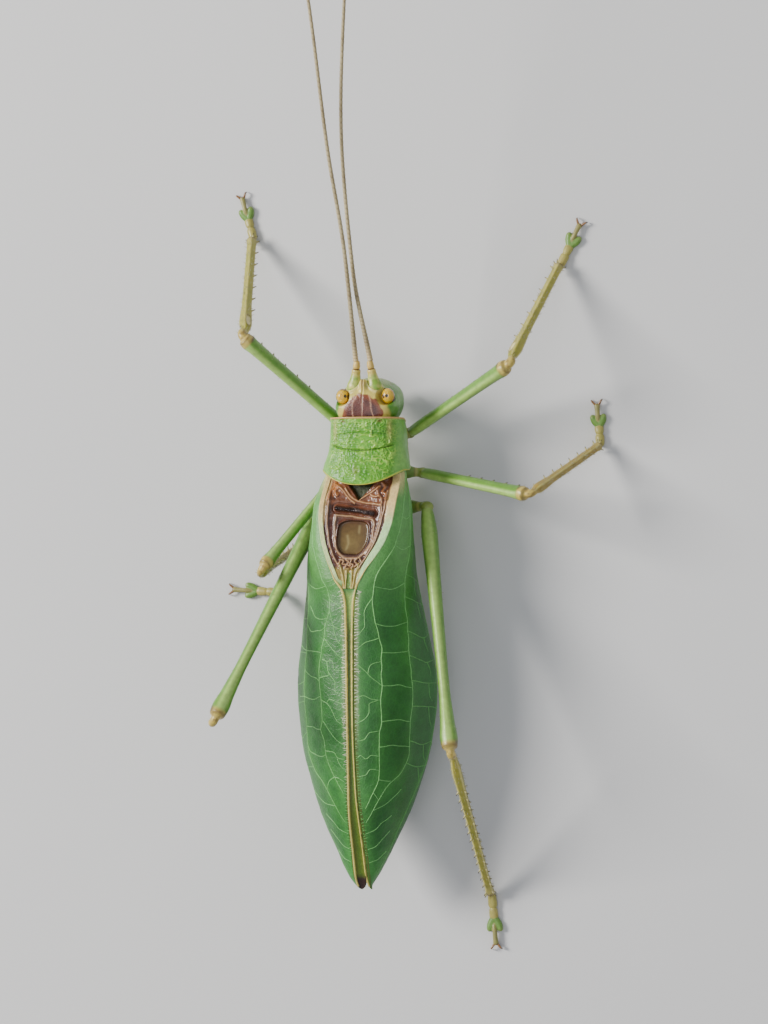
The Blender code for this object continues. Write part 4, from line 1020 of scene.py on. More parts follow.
    # crown: purple-brown dome inside a cream border, with three pale lines
    ragged = 0.06 * noise(points, 0.45, 89)
    reach = np.hypot(x / 2.08, (y - 0.1) / np.where(y < 0.1, 2.35, 9.0)) + ragged
    dome = (1.0 - smooth((reach - 0.96) / 0.07)) * smooth((z - 8.3) / 0.4)
    border = (1.0 - smooth((reach - 1.22) / 0.12)) * smooth((z - 8.2) / 0.5)
    paint = tint(paint, shade(206, 186, 92, 0.34), 0.92 * smooth((y + 3.4) / 0.4) * border)
    plum = tint(flood(shade(104, 58, 48, 0.28), paint), shade(66, 30, 28, 0.28),
                0.5 + 0.9 * fractal(points, 0.7, 3, 87))
    plum = tint(plum, shade(136, 76, 46, 0.28), 0.75 * smooth((reach - 0.7) / 0.25))
    paint = paint + (plum - paint) * dome[..., None]
    streaks = line_distance(x, y, [bent(line) for line in (
        [(0.02, -2.5), (0.0, -1.2), (0.05, 0.4)], [(0.5, -2.15), (0.82, -1.7), (1.02, -0.9), (0.95, 0.1)],
        [(-0.6, -2.2), (-0.82, -1.6), (-0.9, -0.8), (-1.15, 0.1)])])
    paint = coats(
        paint,
        (shade(206, 160, 130, 0.3), 0.7 * bell(streaks, 0.05) * dome),
        (shade(206, 178, 96, 0.34), 0.95 * smooth((fastigium - 0.2) / 0.4)),
        (shade(96, 70, 44, 0.4), 0.75 * bell(x, 0.06) * bell(z - 9.8, 0.3) * ahead),
        (shade(206, 194, 118, 0.34), 0.9 * bell(scape_gap - 0.76, 0.1) * on_front),
        # a dark rim round each eye, partly painted shade in the seam where eye and head meet
        (shade(14, 9, 5, 0.2), 0.95 * (1.0 - smooth((eye_gap - 0.79) / 0.04))),
        (shade(230, 220, 160, 0.25), 0.9 * smooth((ocellus - 0.45) / 0.25)))
    stock = Stock()
    stock.tube(outer, paint)
    stock.piece("head_skin", LOOKS["head"], "head", ["head"], mapped=True)


def globe(centre, radii, rows=64, columns=96):
    """A ball as a grid of rings about the vertical axis, and its unit directions."""
    tilt = np.linspace(0.02, np.pi - 0.02, rows)[:, None]
    turn = 2.0 * np.pi * np.arange(columns)[None, :] / columns
    unit = np.stack([np.sin(tilt) * np.cos(turn), np.sin(tilt) * np.sin(turn),
                     np.broadcast_to(np.cos(tilt), (rows, columns))], -1)
    return np.asarray(centre) + unit * np.asarray(radii), unit


def build_eyes():
    # each eye: where its dark pupil spot and the dark wedge beside it look
    marks = {LEFT: ((-0.62, 0.0, 0.78), (-0.94, 0.06, 0.33)), RIGHT: ((-0.06, 0.02, 0.99), (0.5, 0.06, 0.86))}
    for side, word in SIDES.items():
        points, unit = globe(on_head(side, EYE_CENTRE), (0.67, 0.77, 0.69))
        pupil, wedge = (np.array(mark) / np.linalg.norm(mark) for mark in marks[side])
        paint = tint(flood(shade(216, 158, 0, 0.2), unit), shade(192, 124, 0, 0.2),
                     0.3 + 0.5 * noise(unit, 0.8, 91))
        # painted highlight: brighter yellow over the top of each eye
        paint = tint(paint, shade(242, 206, 24, 0.2), 0.6 * bell(unit[..., 2] - 0.75, 0.3))
        # painted shade: darker brown underneath, darker amber-brown over the lower part (set higher on the
        # left eye), and a dark crescent along its edge on the outer front side
        paint = tint(paint, shade(60, 34, 10, 0.2), 0.7 * smooth((-0.15 - unit[..., 2]) / 0.4))
        outward = smooth(0.6 + side * 1.6 * unit[..., 0] - 1.2 * unit[..., 1])
        below = (0.56 if side == LEFT else 0.16) - unit[..., 2]
        paint = tint(paint, shade(132, 72, 6, 0.2), 0.75 * smooth(below / 0.5))
        paint = tint(paint, shade(12, 7, 4, 0.2), outward * bell(below - 0.06, 0.1))
        angle = np.arccos(np.clip(unit @ pupil, -1.0, 1.0))
        paint = tint(paint, shade(10, 6, 4, 0.15), 1.0 - smooth((angle - 0.2) / 0.06))
        side_gap = np.arccos(np.clip(unit @ wedge, -1.0, 1.0))
        paint = tint(paint, shade(64, 24, 6, 0.18), 0.9 * (1.0 - smooth((side_gap - 0.24) / 0.12)))
        stock = Stock()
        stock.tube(points, paint)
        stock.piece("compound_eye_" + word, LOOKS["eye"], "eye", ["eye_" + word])


def build_mouth():
    lean = float(middle(-1.0))
    stock = Stock()
    t = np.linspace(0.0, 1.0, 70)
    path = np.stack([np.full(70, lean), np.interp(t, [0, 1], [-3.45, -3.05]),
                     np.interp(t, [0, 1], [3.75, 2.2])], -1)
    wide = track([(0, 0.5), (0.06, 0.86), (0.3, 0.98), (0.6, 0.92), (0.85, 0.62), (1, 0.05)])(t)
    high = track([(0, 0.25), (0.1, 0.34), (0.6, 0.3), (0.9, 0.2), (1, 0.03)])(t)
    grid = tube(path, wide, high, (1, 0, 0), 64)
    offset = grid[..., 0] - lean
    notch = bell(offset, 0.12) * smooth((t[:, None] - 0.8) / 0.2)
    grid[..., 2] += 0.12 * notch
    paint = tint(flood(shade(196, 190, 128, 0.36), grid), shade(150, 116, 70, 0.36),
                 smooth((t[:, None] - 0.75) / 0.25) + 0.5 * bell(t[:, None] - 0.2, 0.04))
    stock.tube(grid, paint)
    stock.piece("labrum_shield", LOOKS["mouth"], "mouth", ["labrum"])
    for side, word in SIDES.items():
        jaw = Stock()
        path = along([(lean + side * 1.15, -2.55, 3.75), (lean + side * 1.1, -2.75, 3.2),
                      (lean + side * 0.75, -2.85, 2.65), (lean + side * 0.18, -2.85, 2.4)], 60)
        t = np.linspace(0.0, 1.0, 60)
        wide = track([(0, 0.4), (0.3, 0.5), (0.7, 0.36), (0.92, 0.16), (1, 0.03)])(t)
        grid = tube(path, wide, wide * 0.75, (0, 1, 0), 40,
                    lambda turn, place: 1.0 + 0.12 * np.cos(5.0 * np.pi * place) * (place > 0.5))
        paint = tint(flood(shade(168, 150, 84, 0.34), grid), shade(48, 24, 14, 0.22),
                     smooth((t[:, None] - 0.55) / 0.25))
        jaw.tube(grid, paint)
        jaw.piece("jaw_" + word, LOOKS["mouth"], "mouth", ["mandible_" + word])
        feelers = (
            ("maxillary", [(1.45, -2.25, 3.6), (1.75, -2.4, 2.7), (1.65, -2.75, 2.0), (1.15, -3.05, 1.45)],
             (0.2, 0.42, 0.68), 0.25),
            ("labial", [(0.75, -1.85, 3.6), (0.95, -2.1, 2.4), (1.0, -2.8, 1.6)], (0.35, 0.66), 0.22),
        )
        for kind, route, joints, size in feelers:
            palp = Stock()
            path = along([(lean + side * a, b, c) for a, b, c in route], 110)
            t = np.linspace(0.0, 1.0, 110)
            pinch = sum(bell(t - joint, 0.018) for joint in joints)
            flare = 1.0 + 0.28 * smooth((t - joints[-1]) / (1 - joints[-1]))
            close = np.sqrt(np.clip(1.0 - np.clip((t - 0.95) / 0.05, 0, 1) ** 2, 0.004, 1))
            radius = size * flare * (1.0 - 0.3 * pinch) * close * (0.85 + 0.15 * smooth(t / 0.2))
            grid = tube(path, radius, radius * 0.9, (1, 0.2, 0), 28)
            paint = tint(flood(shade(176, 194, 128, 0.4), grid),
                         shade(130, 100, 60, 0.4), 0.7 * pinch[:, None])
            paint = tint(paint, shade(214, 206, 160, 0.5), smooth((t[:, None] - 0.94) / 0.05))
            palp.tube(grid, paint)
            palp.piece(kind + "_feeler_" + word, LOOKS["mouth"], "palp", [kind + "_palp_" + word])


def antenna_route(side):
    """Points from the scape's end to the tip; the two feelers cross at different heights."""
    start = on_head(side, SCAPE_END) + np.array([0.0, -0.75, 0.2])
    if side == LEFT:
        bends = [(0.3, -15.5, 12.6), (1.35, -25.5, 15.0), (2.4, -39.4, 18.0), (4.2, -52.0, 20.6),
                 (7.5, -67.0, 22.5)]
    else:
        bends = [(-0.15, -14.5, 11.5), (0.28, -25.0, 13.6), (-0.9, -39.2, 17.0), (-3.4, -52.0, 19.8),
                 (-8.0, -67.0, 22.0)]
    return [tuple(start)] + bends


def build_antennae():
    for side, word in SIDES.items():
        foot, end = on_head(side, SCAPE_FOOT), on_head(side, SCAPE_END)
        out = np.array([-side * 0.12, -1.0, 0.2])
        out /= np.linalg.norm(out)
        base = Stock()
        t = np.linspace(0.0, 1.0, 110)
        path = foot + (end - foot) * (t[:, None] * 1.04 - 0.04)
        radius = track([(0, 0.5), (0.06, 0.64), (0.14, 0.75), (0.35, 0.68), (0.6, 0.52), (0.88, 0.42),
                        (0.96, 0.4), (1, 0.28)])(t)
        bulge = 0.06 * bell(t - 0.3, 0.12) - 0.06 * bell(t - 0.08, 0.03) + 0.03 * bell(t - 0.9, 0.05)
        grid = tube(path, radius + bulge, (radius + bulge) * 0.92, (1, 0, 0), 56)
        turn = 2.0 * np.pi * np.arange(56)[None, :] / 56
        paint = tint(flood(shade(126, 164, 52, 0.34), grid), shade(208, 204, 112, 0.34),
                     0.45 + 1.3 * fractal(grid, 0.5, 2, 95 + side))
        paint = coats(
            paint,
            (shade(222, 216, 156, 0.36), 0.8 * bell(t[:, None] - 0.24, 0.1) * bell(np.sin(turn) - 0.7, 0.6)),
            (shade(226, 210, 158, 0.36), 0.9 * bell(t[:, None] - 0.05, 0.04)),
            (shade(206, 178, 92, 0.36), 0.8 * smooth((t[:, None] - 0.62) / 0.25)),
            (shade(90, 56, 30, 0.4), 0.9 * smooth((t[:, None] - 0.955) / 0.02)))
        base.tube(grid, paint)
        t = np.linspace(0.0, 1.0, 60)
        path = end + out * (t[:, None] * 0.86 - 0.04)
        radius = track([(0, 0.25), (0.08, 0.33), (0.3, 0.36), (0.75, 0.31), (0.93, 0.27), (1, 0.15)])(t)
        grid = tube(path, radius, radius, (1, 0, 0), 40)
        paint = tint(flood(shade(204, 172, 86, 0.38), grid), shade(110, 72, 40, 0.4),
                     0.85 * bell(t[:, None] - 0.02, 0.07) + 0.6 * bell(t[:, None] - 0.97, 0.05))
        base.tube(grid, paint)
        base.piece("scape_" + word, LOOKS["head"], "scape", ["antenna_base_" + word])

        route = along(antenna_route(side), 1501)
        reach = np.linspace(0.0, 1.0, 1501)
        length = np.linalg.norm(np.diff(route, axis=0), axis=1).sum()
        radius = track([(0.0, 0.28), (0.02, 0.26), (0.08, 0.225), (0.3, 0.195), (0.6, 0.165), (0.85, 0.12),
                        (0.99, 0.06), (1.0, 0.02)])(reach)
        pitch = np.interp(reach, [0.0, 0.1, 1.0], [0.28, 0.45, 0.75])
        phase = np.cumsum(1.0 / pitch) * length / 1500.0
        ring = np.mod(phase, 1.0)
        joint = bell(np.minimum(ring, 1.0 - ring), 0.16)
        grid = tube(route, radius * (1.0 - 0.13 * joint), radius * (1.0 - 0.13 * joint), (1, 0, 0), 14)
        tan = tint(flood(shade(182, 168, 128, 0.45), grid), shade(150, 134, 96, 0.45),
                   0.5 + 0.7 * fractal(grid, 2.0, 2, 97))
        tan = tint(tan, shade(112, 92, 62, 0.45), 0.42 * joint[:, None])
        every = bell(np.mod(phase, 12.0) - 6.0, 0.8)
        tan = tint(tan, shade(104, 82, 54, 0.45), 0.3 * every[:, None])
        tan = tint(tan, shade(206, 182, 130, 0.42), 0.6 * (1.0 - smooth(reach / 0.03))[:, None])
        half = 751
        for part, first, last in (("inner", 0, half), ("outer", half - 1, 1501)):
            thread = Stock()
            thread.tube(grid[first:last], tan[first:last])
            thread.piece("flagellum_" + part + "_" + word, LOOKS["antenna"], "antenna",
                         ["antenna_" + part + "_" + word])


# --- Body under the wings ---------------------------------------------------------------

TRUNK_WIDTH = track([(-0.4, 1.3), (0.3, 1.7), (0.75, 2.2), (3.0, 2.6), (6.5, 2.9), (9.0, 3.2), (13.0, 3.3),
                     (20.0, 3.7), (27.0, 3.3), (32.0, 2.2), (34.0, 1.4), (35.4, 0.9), (36.5, 0.45),
                     (36.9, 0.06)])
TRUNK_TOP = track([(-0.4, 8.2), (0.3, 9.9), (0.8, 10.2), (3.0, 10.3), (5.0, 10.2), (6.5, 9.9), (13.0, 9.4),
                   (20.0, 9.3), (28.0, 8.6), (33.6, 7.2), (35.0, 6.9), (36.3, 7.4), (36.9, 7.42)])
TRUNK_FLOOR = track([(-0.4, 6.0), (0.75, 4.5), (3.0, 3.4), (6.5, 2.9), (10.0, 2.8), (13.0, 3.1), (20.0, 2.7),
                     (28.0, 3.4), (33.6, 5.0), (35.0, 5.35), (36.3, 6.3), (36.9, 7.3)])
BACK_WIDTH = track([(-0.4, 1.6), (0.3, 3.0), (0.9, 3.25), (4.0, 3.35), (6.5, 3.3), (10.0, 3.25), (13.0, 3.3)])
SEGMENT_ENDS = np.array([13.15, 15.4, 17.7, 20.0, 22.3, 24.6, 26.9, 29.1, 31.3, 33.6])
COXA_Y = (1.9, 5.2, 8.8)
COXA_ANGLE = 44.0


def build_trunk():
    rows, columns = 520, 150
    y = np.linspace(-0.4, 36.9, rows)[:, None]
    turn = 2.0 * np.pi * (np.arange(columns)[None, :] + 0.5) / columns
    top, floor = TRUNK_TOP(y), TRUNK_FLOOR(y)
    mid, tall = (top + floor) / 2.0, (top - floor) / 2.0
    # above the leg bases the thorax fills the space under the pronotum
    upper = smooth((np.sin(turn) + 0.45) / 0.6)
    width = TRUNK_WIDTH(y) + np.maximum(BACK_WIDTH(y) - TRUNK_WIDTH(y), 0.0) * upper * (y < 13.0)
    x = width * np.cos(turn)
    z = mid + tall * np.sin(turn)
    points = np.stack([middle(y) + x, np.broadcast_to(y, x.shape), z], -1)
    normal = normals_of(points, ring=True)
    if normal[rows // 2, columns // 4] @ np.array([0.0, 0.0, 1.0]) < 0.0:
        normal = -normal
    down = -np.sin(turn)
    belly = smooth((down - 0.45) / 0.2)
    pleura = bell(down - 0.42, 0.13)

    in_abdomen = smooth((y - 12.9) / 0.3) * smooth((33.9 - y) / 0.4)
    i = np.clip(np.searchsorted(SEGMENT_ENDS, y) - 1, 0, len(SEGMENT_ENDS) - 2)
    place = (y - SEGMENT_ENDS[i]) / (SEGMENT_ENDS[i + 1] - SEGMENT_ENDS[i])
    step = (0.16 * smooth(place / 0.85) - 0.16 * smooth((place - 0.9) / 0.1)) * in_abdomen
    plate_gap = (bell(place, 0.06) + bell(place - 1.0, 0.06)) * in_abdomen
    rise = step * (1.0 - 0.8 * pleura) - 0.14 * pleura * in_abdomen
    rise += 0.05 * belly * in_abdomen * bell(place - 0.5, 0.35)
    spiracle = bell(np.hypot((place - 0.3) * 2.2, (down - 0.3) * 3.0), 0.12) * in_abdomen
    rise -= 0.08 * spiracle

    in_thorax = 1.0 - in_abdomen
    sternum = 0.0
    for near, far in ((0.9, 3.2), (3.6, 6.8), (7.2, 12.2)):
        lobe = smooth((y - near) / 0.5) * smooth((far - y) / 0.5)
        sternum = sternum + lobe * belly * (0.16 + 0.10 * bell(np.abs(x) - 1.1, 0.6))
    rise += sternum * (y < 12.6) - 0.12 * bell(x, 0.14) * belly * (y < 12.4)
    sockets = sum(bell(np.hypot(y - foot, (turn_gap(turn) - COXA_ANGLE) / 16.0), 0.85) for foot in COXA_Y)
    ring = sum(bell(np.hypot(y - foot, (turn_gap(turn) - COXA_ANGLE) / 16.0) - 1.0, 0.2) for foot in COXA_Y)
    rise += 0.10 * ring - 0.06 * sockets
    pleural = sum(bell(y - foot - 0.5 - 0.05 * (down + 0.2) * 8.0, 0.12) for foot in COXA_Y) * (down < 0.55)
    rise += -0.09 * pleural * (np.abs(down) < 0.75)
    keel = smooth((y - 33.6) / 0.4)
    rise += keel * (0.12 * bell(x, 0.25) * belly - 0.05 * bell(np.abs(x) - 0.7, 0.12))
    rise += 0.03 * fractal(points, 1.0, 3, 101) + 0.01 * fractal(points, 0.3, 2, 103)
    outer = points + normal * rise[..., None]

    base = flood(shade(150, 182, 104, 0.42), x)
    paint = tint(base, shade(186, 198, 130, 0.42), 0.8 * belly)
    paint = coats(
        paint,
        (shade(214, 206, 158, 0.5), 0.8 * pleura * in_abdomen),
        (shade(122, 164, 78, 0.42), 0.35 + 0.6 * fractal(points, 1.8, 3, 105)),
        (shade(206, 200, 150, 0.45), 0.7 * plate_gap),
        (shade(130, 104, 60, 0.45), 0.45 * bell(place - 0.93, 0.02) * in_abdomen),
        (shade(60, 36, 22, 0.4), 0.9 * smooth((spiracle - 0.5) / 0.2)),
        (shade(204, 198, 142, 0.42), 0.55 * in_thorax * belly),
        (shade(128, 110, 66, 0.45), 0.4 * in_thorax * np.clip(pleural + ring, 0, 1)),
        (shade(206, 188, 150, 0.5), 0.8 * (1.0 - smooth((y - 0.2) / 0.5))))
    stock = Stock()
    stock.tube(outer, paint)
    stock.piece("body_skin", LOOKS["belly"], "belly", ["thorax", "abdomen", "subgenital_plate"], mapped=True)
    for side, word in SIDES.items():
        hook = Stock()
        path = along([(side * 0.55, 33.0, 6.6), (side * 0.8, 33.75, 6.9), (side * 1.15, 34.9, 7.4),
                      (side * 0.8, 36.2, 8.0)], 70)
        t = np.linspace(0.0, 1.0, 70)
        radius = track([(0, 0.34), (0.3, 0.36), (0.7, 0.27), (0.93, 0.14), (1, 0.02)])(t)
        grid = tube(path, radius, radius, (1, 0, 0), 32)
        paint = tint(flood(shade(156, 178, 98, 0.42), grid), shade(70, 40, 22, 0.3),
                     smooth((t[:, None] - 0.82) / 0.12))
        hook.tube(grid, paint)
        hook.piece("cercus_hook_" + word, LOOKS["belly"], "belly", ["cercus_" + word])


def turn_gap(turn):
    """Degrees below the horizontal on either side."""
    return np.degrees(np.arcsin(np.clip(-np.sin(turn), -1.0, 1.0)))


# --- Legs -------------------------------------------------------------------------------

# Each leg: the femur's root, where its coxa sits, lengths, and radii along femur and tibia
LEGS = {
    "front": dict(root=(2.9, 1.4, 3.2), coxa_y=COXA_Y[0], coxa_top=9.65,
                  femur=14.6, tibia=14.6, tarsus=4.6,
                  thick=(0.62, 0.68, 0.68, 0.74, 0.8), shin=(0.5, 0.62, 0.54, 0.5)),
    "mid": dict(root=(4.2, 5.3, 3.0), coxa_y=COXA_Y[1], coxa_top=9.78,
                femur=14.2, tibia=12.0, tarsus=4.2,
                thick=(0.6, 0.64, 0.62, 0.66, 0.74), shin=(0.46, 0.52, 0.45, 0.44)),
    "hind": dict(root=(5.4, 8.6, 4.6), coxa_y=COXA_Y[2], coxa_top=9.6,
                 femur=25.2, tibia=20.8, tarsus=5.2,
                 thick=(0.75, 1.0, 0.86, 0.66, 0.9), shin=(0.46, 0.54, 0.5, 0.46)),
}
# Femur heading, knee height, tibia heading and toe heading (degrees from -Y towards +X)
STANCE = {
    ("front", LEFT): (45.0, 10.0, 12.0, 16.0),
    ("front", RIGHT): (298.0, 10.2, 341.6, 334.0),
    ("mid", LEFT): (152.2, 12.85, 5.0, 335.0),
    ("mid", RIGHT): (259.5, 10.3, 310.2, 5.0),
    ("hind", LEFT): (162.4, 18.6, 357.4, 87.0),
    ("hind", RIGHT): (191.3, 14.0, 184.0, 185.0),
}
ANKLE_HEIGHT = 0.95
VOXEL = 0.066


def unit(vector):
    return np.asarray(vector, float) / np.linalg.norm(vector)


def heading(degrees):
    angle = math.radians(degrees)
    return np.array([math.sin(angle), -math.cos(angle), 0.0])


def leg_frame(pair, side):
    size = LEGS[pair]
    femur_heading, knee_height, tibia_heading, toe_heading = STANCE[(pair, side)]
    out, y, z = size["root"]
    root = np.array([float(middle(y)) + side * out, y, z])
    reach = math.sqrt(size["femur"] ** 2 - (knee_height - z) ** 2)
    knee = root + heading(femur_heading) * reach + np.array([0.0, 0.0, knee_height - z])
    drop = knee_height - ANKLE_HEIGHT
    reach = math.sqrt(max(size["tibia"] ** 2 - drop ** 2, 0.01))
    ankle = knee + heading(tibia_heading) * reach - np.array([0.0, 0.0, drop])
    return root, knee, ankle, heading(toe_heading)


def cone(foot, tip, radius, paint, stock, bend=None, sides=7, rings=6):
    """A spine, claw or hair from a buried foot to its tip, painted from one colour to another."""
    foot, tip = np.asarray(foot, float), np.asarray(tip, float)
    middle_point = (foot + tip) / 2.0 + (0.0 if bend is None else np.asarray(bend))
    path = along([foot, middle_point, tip], rings)
    across = np.cross(tip - foot, (0.31, 0.52, 0.8))
    radii = radius * np.sqrt(np.linspace(1.0, 0.0, rings)) + 0.006
    grid = tube(path, radii, radii, across, sides)
    t = np.linspace(0.0, 1.0, rings)[:, None]
    ramp = tint(flood(paint[0], grid), paint[1], smooth((t - 0.45) / 0.35))
    stock.tube(grid, ramp)


class Limb:
    """Patches of one leg, fused into a single skin that keeps each patch's paint."""

    def __init__(self):
        self.stock = Stock()
        self.spines = Stock()
        self.claws = Stock()

    def patch(self, grid, paint):
        self.stock.tube(grid, paint)

    def fuse(self, name, look, nodes):
        """Joins the patches with a voxel remesh in millimetres and copies their paint across."""
        points = np.concatenate(self.stock.points)
        paint = np.concatenate(self.stock.paint)
        rough = self.stock.mesh(name + "_rough", False)
        rough.transform(Matrix.Scale(1.0 / MM, 4))
        holder = bpy.data.objects.new(name + "_rough", rough)
        bpy.context.scene.collection.objects.link(holder)
        remesh = holder.modifiers.new("Fuse", "REMESH")
        remesh.mode = "VOXEL"
        remesh.voxel_size = VOXEL * 1.0
        relax = holder.modifiers.new("Relax", "SMOOTH")
        relax.factor = 0.5
        relax.iterations = 2
        made = bpy.data.meshes.new_from_object(holder.evaluated_get(bpy.context.evaluated_depsgraph_get()))
        bpy.data.objects.remove(holder)
        found = np.empty(len(made.vertices) * 3)
        made.vertices.foreach_get("co", found)
        found = found.reshape(-1, 3)
        found[:, 2] = np.maximum(found[:, 2], 0.0)
        tree = kdtree.KDTree(len(points))
        for i, point in enumerate((points + SHIFT).tolist()):
            tree.insert(point, i)
        tree.balance()
        nearest = []
        for place in found.tolist():
            three = tree.find_n(place, 3)
            weights = [1.0 / (hit[2] + 0.02) for hit in three]
            nearest.append(([hit[1] for hit in three], weights))
        index = np.array([pair[0] for pair in nearest])
        weight = np.array([pair[1] for pair in nearest])
        weight /= weight.sum(1, keepdims=True)
        colours = (paint[index] * weight[..., None]).sum(1)
        made.vertices.foreach_set("co", (found * MM).ravel())
        made.attributes.new("paint", "FLOAT_COLOR", "POINT").data.foreach_set(
            "color", colours.astype(np.float32).ravel())
        made.shade_smooth()
        made.name = name
        return settle(bpy.data.objects.new(name, made), look, nodes)


def leg_paint(grid, ground, patches, seed):
    paint = tint(flood(ground, grid), ground * np.array([0.78, 0.86, 0.72, 1.0]),
                 0.45 + 0.8 * fractal(grid, 1.1, 3, seed))
    return coats(paint, *patches)


def build_thigh(limb, pair, root, knee, across, coxa_start, coxa_out, seed):
    thick = LEGS[pair]["thick"]
    thigh = unit(knee - root)
    # coxa and trochanter
    end = root + thigh * 0.1
    path = along([coxa_start - coxa_out * 0.5, coxa_start + coxa_out * 0.5,
                  (coxa_start + end) / 2 + coxa_out * 0.25, end], 60)
    t = np.linspace(0.0, 1.0, 60)
    radius = track([(0, 0.75), (0.25, 0.82), (0.55, 0.68), (0.75, 0.5), (0.85, 0.46), (1, 0.5)])(t)
    grid = tube(path, radius, radius, np.cross(end - coxa_start, thigh), 40)
    limb.patch(grid, leg_paint(grid, shade(116, 146, 62, 0.42), [
        (shade(190, 176, 104, 0.42), 0.6 * bell(t[:, None] - 0.8, 0.06)),
        (shade(110, 84, 48, 0.42), 0.5 * bell(t[:, None] - 0.74, 0.02))], seed))
    # trochanter: a small ring-like joint
    t = np.linspace(0.0, 1.0, 40)
    path = root + thigh * (t[:, None] * 1.1 - 0.35)
    grid = tube(path, 0.56 * np.sqrt(np.clip(1 - (2 * t - 1) ** 2, 0.004, 1)) * thick[0] / 0.62,
                0.6 * np.sqrt(np.clip(1 - (2 * t - 1) ** 2, 0.004, 1)) * thick[0] / 0.62, across, 36)
    limb.patch(grid, leg_paint(grid, shade(140, 154, 74, 0.42), [], seed + 1))
    # femur, with a ridge along the back and two keels underneath
    radius = track([(0.0, 0.7 * thick[0]), (0.03, thick[0]), (0.12, thick[1]), (0.3, thick[2]),
                    (0.75, thick[3]), (0.95, thick[4]), (0.985, 0.95 * thick[4]), (1.0, 0.4 * thick[4])])
    t = np.linspace(0.0, 1.0, 220)
    path = root + thigh * 0.25 + (knee + thigh * 0.42 - root - thigh * 0.25) * t[:, None]

    def keels(turn, place):
        ventral = bell(np.sin(turn) - 0.92, 0.22) * 0.10 * (1.0 - 1.6 * bell(np.cos(turn), 0.12))
        dorsal = 0.07 * bell(np.sin(turn) + 1.0, 0.10)
        flat = -0.05 * bell(np.abs(np.cos(turn)) - 1.0, 0.2)
        fade = smooth(place / 0.1) * smooth((0.94 - place) / 0.06)
        knob = 0.10 * bell(place - 0.95, 0.03) * bell(np.abs(np.cos(turn)) - 0.9, 0.3)
        return 1.0 + fade * (ventral + dorsal + flat) + knob

    grid = tube(path, radius(t) * 0.86, radius(t), across, 72, keels)
    turn = 2.0 * np.pi * np.arange(72)[None, :] / 72
    cap = 1.0 - 0.95 / LEGS[pair]["femur"]
    end_part = smooth((t[:, None] - cap) / 0.02)
    corner = bell(np.hypot((t[:, None] - cap - 0.012) / 0.012, (np.abs(np.cos(turn)) - 1.0) / 0.2), 1.0)
    specks = smooth((noise(grid, 0.28, seed + 3) - 0.25) / 0.2)
    limb.patch(grid, leg_paint(grid, shade(104, 152, 50, 0.38), [
        # painted highlight along the ridge on the femur's back
        (shade(174, 206, 112, 0.34), 0.75 * bell(np.sin(turn) + 0.95, 0.16) * (1.0 - end_part)),
        (shade(138, 170, 84, 0.4), 0.5 * smooth(np.sin(turn) - 0.2)),
        (shade(206, 182, 96, 0.36), 0.9 * end_part),
        (shade(96, 60, 34, 0.4), 0.3 * specks * end_part),
        (shade(58, 34, 22, 0.4), 0.8 * corner),
        (shade(70, 42, 24, 0.4), 0.6 * bell(t[:, None] - 0.985, 0.008)),
        (shade(170, 178, 112, 0.4), 0.5 * (1.0 - smooth(t[:, None] / 0.05)))], seed + 2))
    spine_paint = (shade(170, 168, 104, 0.4), shade(40, 24, 16, 0.3))
    places = {"front": np.linspace(0.42, 0.86, 5), "mid": np.linspace(0.4, 0.86, 5),
              "hind": np.linspace(0.45, 0.9, 8)}[pair]
    i_of = (places * 219).astype(int)
    for i in i_of:
        for column in (15, 21):
            foot = grid[i, column]
            out = unit(foot - path[i])
            cone(foot - out * 0.12, foot + out * 0.38 + thigh * 0.18, 0.12, spine_paint, limb.spines)
    return grid, path


